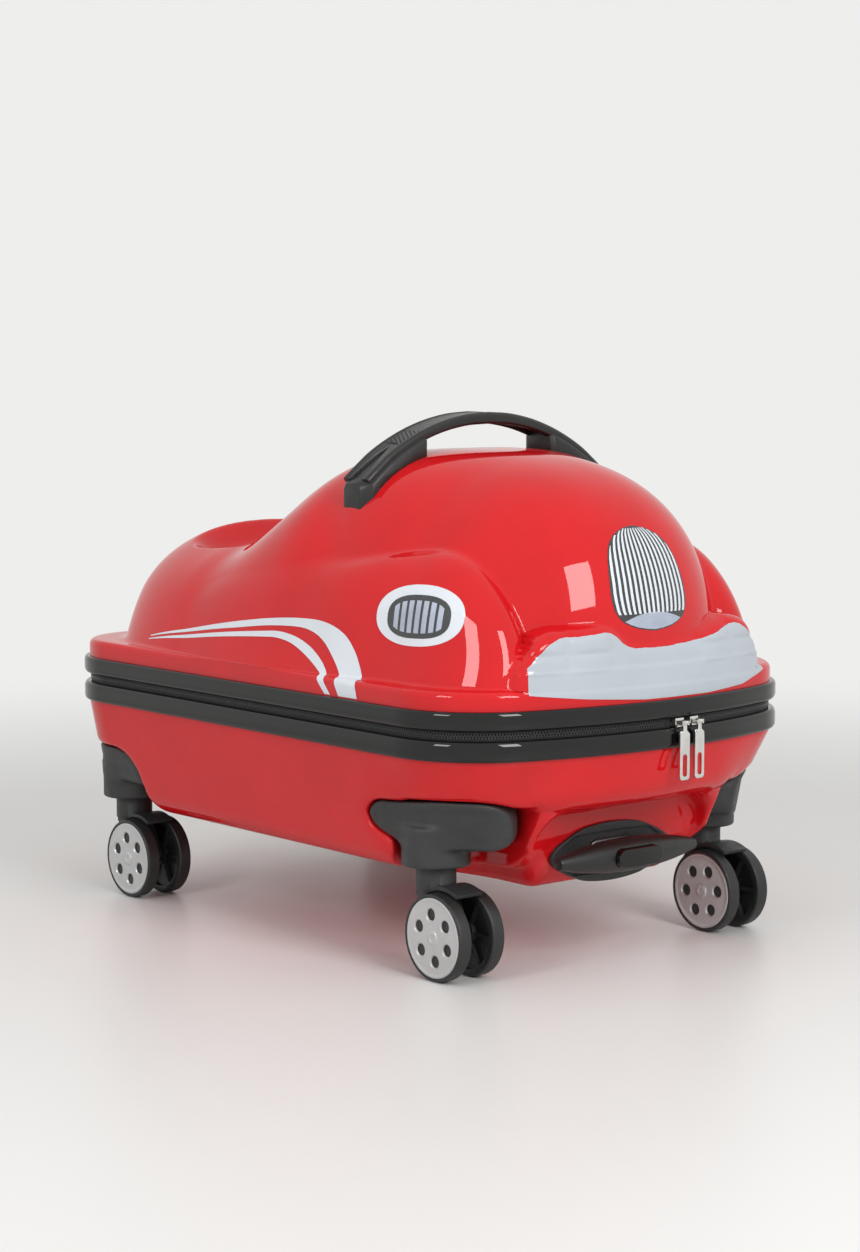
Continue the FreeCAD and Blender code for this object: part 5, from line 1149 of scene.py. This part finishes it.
def make_feet():
    """Angular brackets under the strap's ends, following the roof."""
    side = curve_through(STRAP_TOP, 60)
    for s, name in SIDES.items():
        rings = []
        for x, half in FOOT_PLAN:
            top = float(np.interp(x, side[:, 0], side[:, 1])) - FOOT_DROP
            if x > FOOT_END:
                top = min(top, FOOT_END_TOP)
            ys = np.linspace(-half, half, 9)
            low = [skin_height(s * x, HANDLE_Y + y) - FOOT_SINK for y in ys]
            crown = [(half, 4.5), (half - 0.9, 2.6), (half * 0.7, 0.4)]
            crown += [(0, 0)] + [(-y, drop) for y, drop in crown[::-1]]
            ring = [(s * x, HANDLE_Y + y, z) for y, z in zip(ys, low)]
            ring += [(s * x, HANDLE_Y + y, max(top - drop, low[4] + FOOT_LEAST)) for y, drop in crown]
            rings.append(ring)
        foot = make_object(f"carry_bracket_{name}", *lofted(rings), HANDLE_BLACK)
        clean(foot, 0.7, angle=34)
        ride(foot, "lid", f"carry_foot_{name}")


make_strap()
make_feet()
for screw_node in ("handle_plates", "handle_screws"):
    dress(screw_node, "lid", STEEL, 0.2)

# Casters: the cap's section and its hole's, along the axle and out
CAP_SECTION = [(19.15, 0.0), (19.15, 1.9), (19.35, 2.1), (19.5, 2.5), (19.5, 4.4), (19.3, 4.9),
               (18.75, 5.3), (18.7, 6.2), (18.78, 10.0), (18.84, 16.0), (18.78, 21.0), (18.62, 23.6),
               (18.72, 24.2), (18.95, 24.7), (19.0, 25.4), (18.9, 26.1), (18.6, 26.55), (18.0, 26.6),
               (17.4, 26.5), (17.4, 0.0)]
HOLE_SECTION = [(16.0, 3.9), (18.0, 4.0), (18.75, 4.7), (20.0, 6.0)]
HOLES, HOLE_CIRCLE, HOLE_TURNS, CAP_TURNS = 6, 15.5, 20, 72
BOSS_RADIUS, BOSS_Z, BOSS_HALF_HEIGHT = 23.0, 86.5, 13.4


def make_cap_master():
    """Silver wheel cap: domed disc with a raised rim, six round holes and a ringed middle."""
    verts = [(x, r * math.cos(a), r * math.sin(a)) for a in circle(CAP_TURNS) for x, r in CAP_SECTION]
    faces = grid_faces(CAP_TURNS, len(CAP_SECTION), close_rows=True)
    cap = make_object("cap_master", verts, faces, SILVER, sharp=32)
    with mesh_edit(cap) as work:
        bmesh.ops.remove_doubles(work, verts=work.verts, dist=1e-6)
        bmesh.ops.dissolve_degenerate(work, edges=work.edges, dist=1e-7)
        bmesh.ops.recalc_face_normals(work, faces=work.faces)
    verts, faces = [], []
    for k in range(HOLES):
        a = math.pi / 3 * k + math.pi / 6
        cy, cz = HOLE_CIRCLE * math.cos(a), HOLE_CIRCLE * math.sin(a)
        rings = [[(x, cy + r * math.cos(b), cz + r * math.sin(b)) for b in circle(HOLE_TURNS)]
                 for x, r in HOLE_SECTION]
        points, sides = lofted(rings)
        faces += [tuple(len(verts) + i for i in f) for f in sides]
        verts += points
    tool = make_object("cap_holes", verts, faces, DARK_PRINT)
    fix_normals(tool)
    cut_away(cap, tool)
    clean(cap, angle=34)
    return cap


def make_housing(corner, cx, cy):
    """Insert that fills a pocket a little behind the shell's skin, with the boss under it."""
    fill, bottom, wide, deep = (front_insert, 84.0, 66, 72) if cy < 0 else (pocket, 88.0, 62, 62)

    def field(x, y, z):
        insert = round_max(fill(x, y, z, -0.7, cx, cy), tub(x, y, z, 1.4), 2.5)
        insert = round_max(insert, bottom - z, 4.0)
        away, upright = np.hypot(x - cx, y - cy), np.abs(z - BOSS_Z)
        boss = round_max(away - BOSS_RADIUS, upright - BOSS_HALF_HEIGHT, 1.6)
        return smooth_min(insert, boss, 5.0)

    points, faces = surface_net(field, (cx - wide, cy - deep, 70), (cx + wide, cy + deep, 122), 1.7)
    housing = make_object(f"housing_{corner}", points, faces, SOFT_BLACK, sharp=60)
    ride(housing, "base", f"caster_housing_{corner}")


def make_casters():
    cap = make_cap_master()
    for corner, (x, y) in CASTERS.items():
        make_housing(corner, x, y)
        dress(f"caster_fork_{corner}", f"caster_{corner}", SOFT_BLACK, 0.8, angle=28)
        dress(f"caster_axle_{corner}", f"caster_{corner}", STEEL, 0.3)
        hub = Matrix.Translation(Vector((x, y - TRAIL, WHEEL_RADIUS)) * MM)
        for s, side in SIDES.items():
            wheel = f"wheel_{corner}_{side}"
            dress(wheel, wheel, WHEEL_BLACK, 0.45, angle=30)
            spin = Matrix.Rotation(rng.uniform(0, math.pi / 3), 4, "X")
            obj = add_object(f"cap_{corner}_{side}", cap.data.copy())
            obj.data.transform(hub @ Matrix.Diagonal((s, s, 1, 1)) @ spin)
            obj.data.update()
            ride(obj, wheel, f"wheel_cap_{corner}_{side}")
    bpy.data.objects.remove(cap)


make_casters()

# Pieces that only need their edges rounded: node, body, material and rounding
for small, body, finish, edge in (
        ("swivel_pins", "base", STEEL, 0.3), ("base_studs", "base", SOFT_BLACK, 1.2),
        ("housing_rivets", "base", STEEL, 0.3), ("pole_outer_tube", "base", ALUMINIUM, 0.0),
        ("pole_end_block", "base", SOFT_BLACK, 0.6),
        ("pole_middle_tube", "pole_middle", ALUMINIUM, 0.0),
        ("pole_inner_tube", "pole_grip", ALUMINIUM, 0.0), ("pull_grip", "pole_grip", HANDLE_BLACK, 1.1),
        ("push_button", "button", RIM_BLACK, 0.9), ("release_rod", "button", STEEL, 0.0),
        ("zip_slider_left", "slider_left", CHROME, 0.35),
        ("zip_slider_right", "slider_right", CHROME, 0.35),
        ("zip_pull_left", "pull_left", CHROME, 0.4), ("zip_pull_right", "pull_right", CHROME, 0.4)):
    dress(small, body, finish, edge)
make_oval(dress("handle_bezel", "base", SOFT_BLACK, 0.9))
spring = dress("button_spring", "pole_grip", STEEL)
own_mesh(spring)

# Floor, light and camera; the floor fades into the wall's tone between two distances
WALL_TONE, WALL_LIGHT = (0.855, 0.855, 0.84, 1), 0.6
FLOOR_SHADES = (0.765, 0.76, 0.75), (0.79, 0.785, 0.775)
FLOOR_REACH, FLOOR_POINTS, FADE_START, FADE_END = 6000.0, 25, 0.55, 1.5
CAMERA_PLACE = Vector((-1264.243, -1545.182, 417.283))
CAMERA_AZIMUTH, CAMERA_CLIMB = math.radians(-39.378), math.radians(5.936)
CAMERA_LENS, CAMERA_SENSOR = 79.42, 36.0


def seen(tree):
    """1 for rays that show the background: from the camera, mirrored or let through."""
    rays = add_node(tree, "LightPath", {}).outputs
    mirrored = calculate(tree, "MAXIMUM", rays["Is Camera Ray"], rays["Is Glossy Ray"])
    return calculate(tree, "MAXIMUM", mirrored, rays["Is Transmission Ray"])


def make_floor():
    mat, tree, shader = new_material("pale_floor")
    shade = ramp(tree, noise(tree, 1.6, detail=3.0), NOISE_LOW, NOISE_HIGH, FLOOR_SHADES)
    gloss = spread(tree, noise(tree, 40.0), 0.38, 0.41)
    set_inputs(tree, shader, {"Base Color": shade, "Roughness": gloss})
    away = add_node(tree, "VectorMath", {0: coordinates(tree)}, operation="LENGTH").outputs["Value"]
    fade = remap(tree, away, FADE_START, FADE_END, 0.0, 1.0, interpolation_type="SMOOTHSTEP")
    glow = add_node(tree, "Emission", {"Color": WALL_TONE}).outputs["Emission"]
    share = calculate(tree, "MULTIPLY", fade, seen(tree))
    mix = add_node(tree, "MixShader", {"Fac": share, 1: shader.outputs["BSDF"], 2: glow})
    set_inputs(tree, tree.nodes["Material Output"], {"Surface": mix.outputs["Shader"]})
    line = np.linspace(-FLOOR_REACH, FLOOR_REACH, FLOOR_POINTS)
    verts = [(x, y, 0) for x in line for y in line]
    make_object("floor", verts, grid_faces(FLOOR_POINTS, FLOOR_POINTS), mat)


def aim(obj, direction):
    obj.rotation_euler = direction.to_track_quat("-Z", "Y").to_euler()


def softbox(name, place, target, width, height, power):
    light = bpy.data.lights.new(name, "AREA")
    light.shape = "RECTANGLE"
    light.size, light.size_y = width, height
    light.energy = power
    obj = add_object(name, light)
    obj.location = place
    aim(obj, Vector(target) - Vector(place))
    return obj


def make_light():
    scene.world = bpy.data.worlds.new("room")
    scene.world.use_nodes = True
    tree = scene.world.node_tree
    strength = remap(tree, seen(tree), 0.0, 1.0, WALL_LIGHT, 1.0)
    set_inputs(tree, tree.nodes["Background"], {"Color": WALL_TONE, "Strength": strength})
    softbox("nose_box", (-0.2, -1.62, 1.02), (-0.06, -0.2, 0.2), 0.56, 0.76, 13.5)
    softbox("side_box", (-1.56, -0.4, 0.95), (-0.05, -0.1, 0.2), 0.46, 0.46, 6)
    softbox("top_box", (-0.5, -0.3, 2.4), (0, 0, 0.2), 2.6, 2.6, 13).visible_glossy = False


def make_camera():
    camera = bpy.data.cameras.new("camera")
    camera.sensor_width, camera.lens = CAMERA_SENSOR, CAMERA_LENS
    scene.camera = add_object("camera", camera)
    scene.camera.location = CAMERA_PLACE * MM
    level = math.cos(CAMERA_CLIMB)
    back = (math.sin(CAMERA_AZIMUTH) * level, -math.cos(CAMERA_AZIMUTH) * level, math.sin(CAMERA_CLIMB))
    aim(scene.camera, -Vector(back))


make_floor()
make_light()
make_camera()
scene.view_settings.view_transform = "Standard"
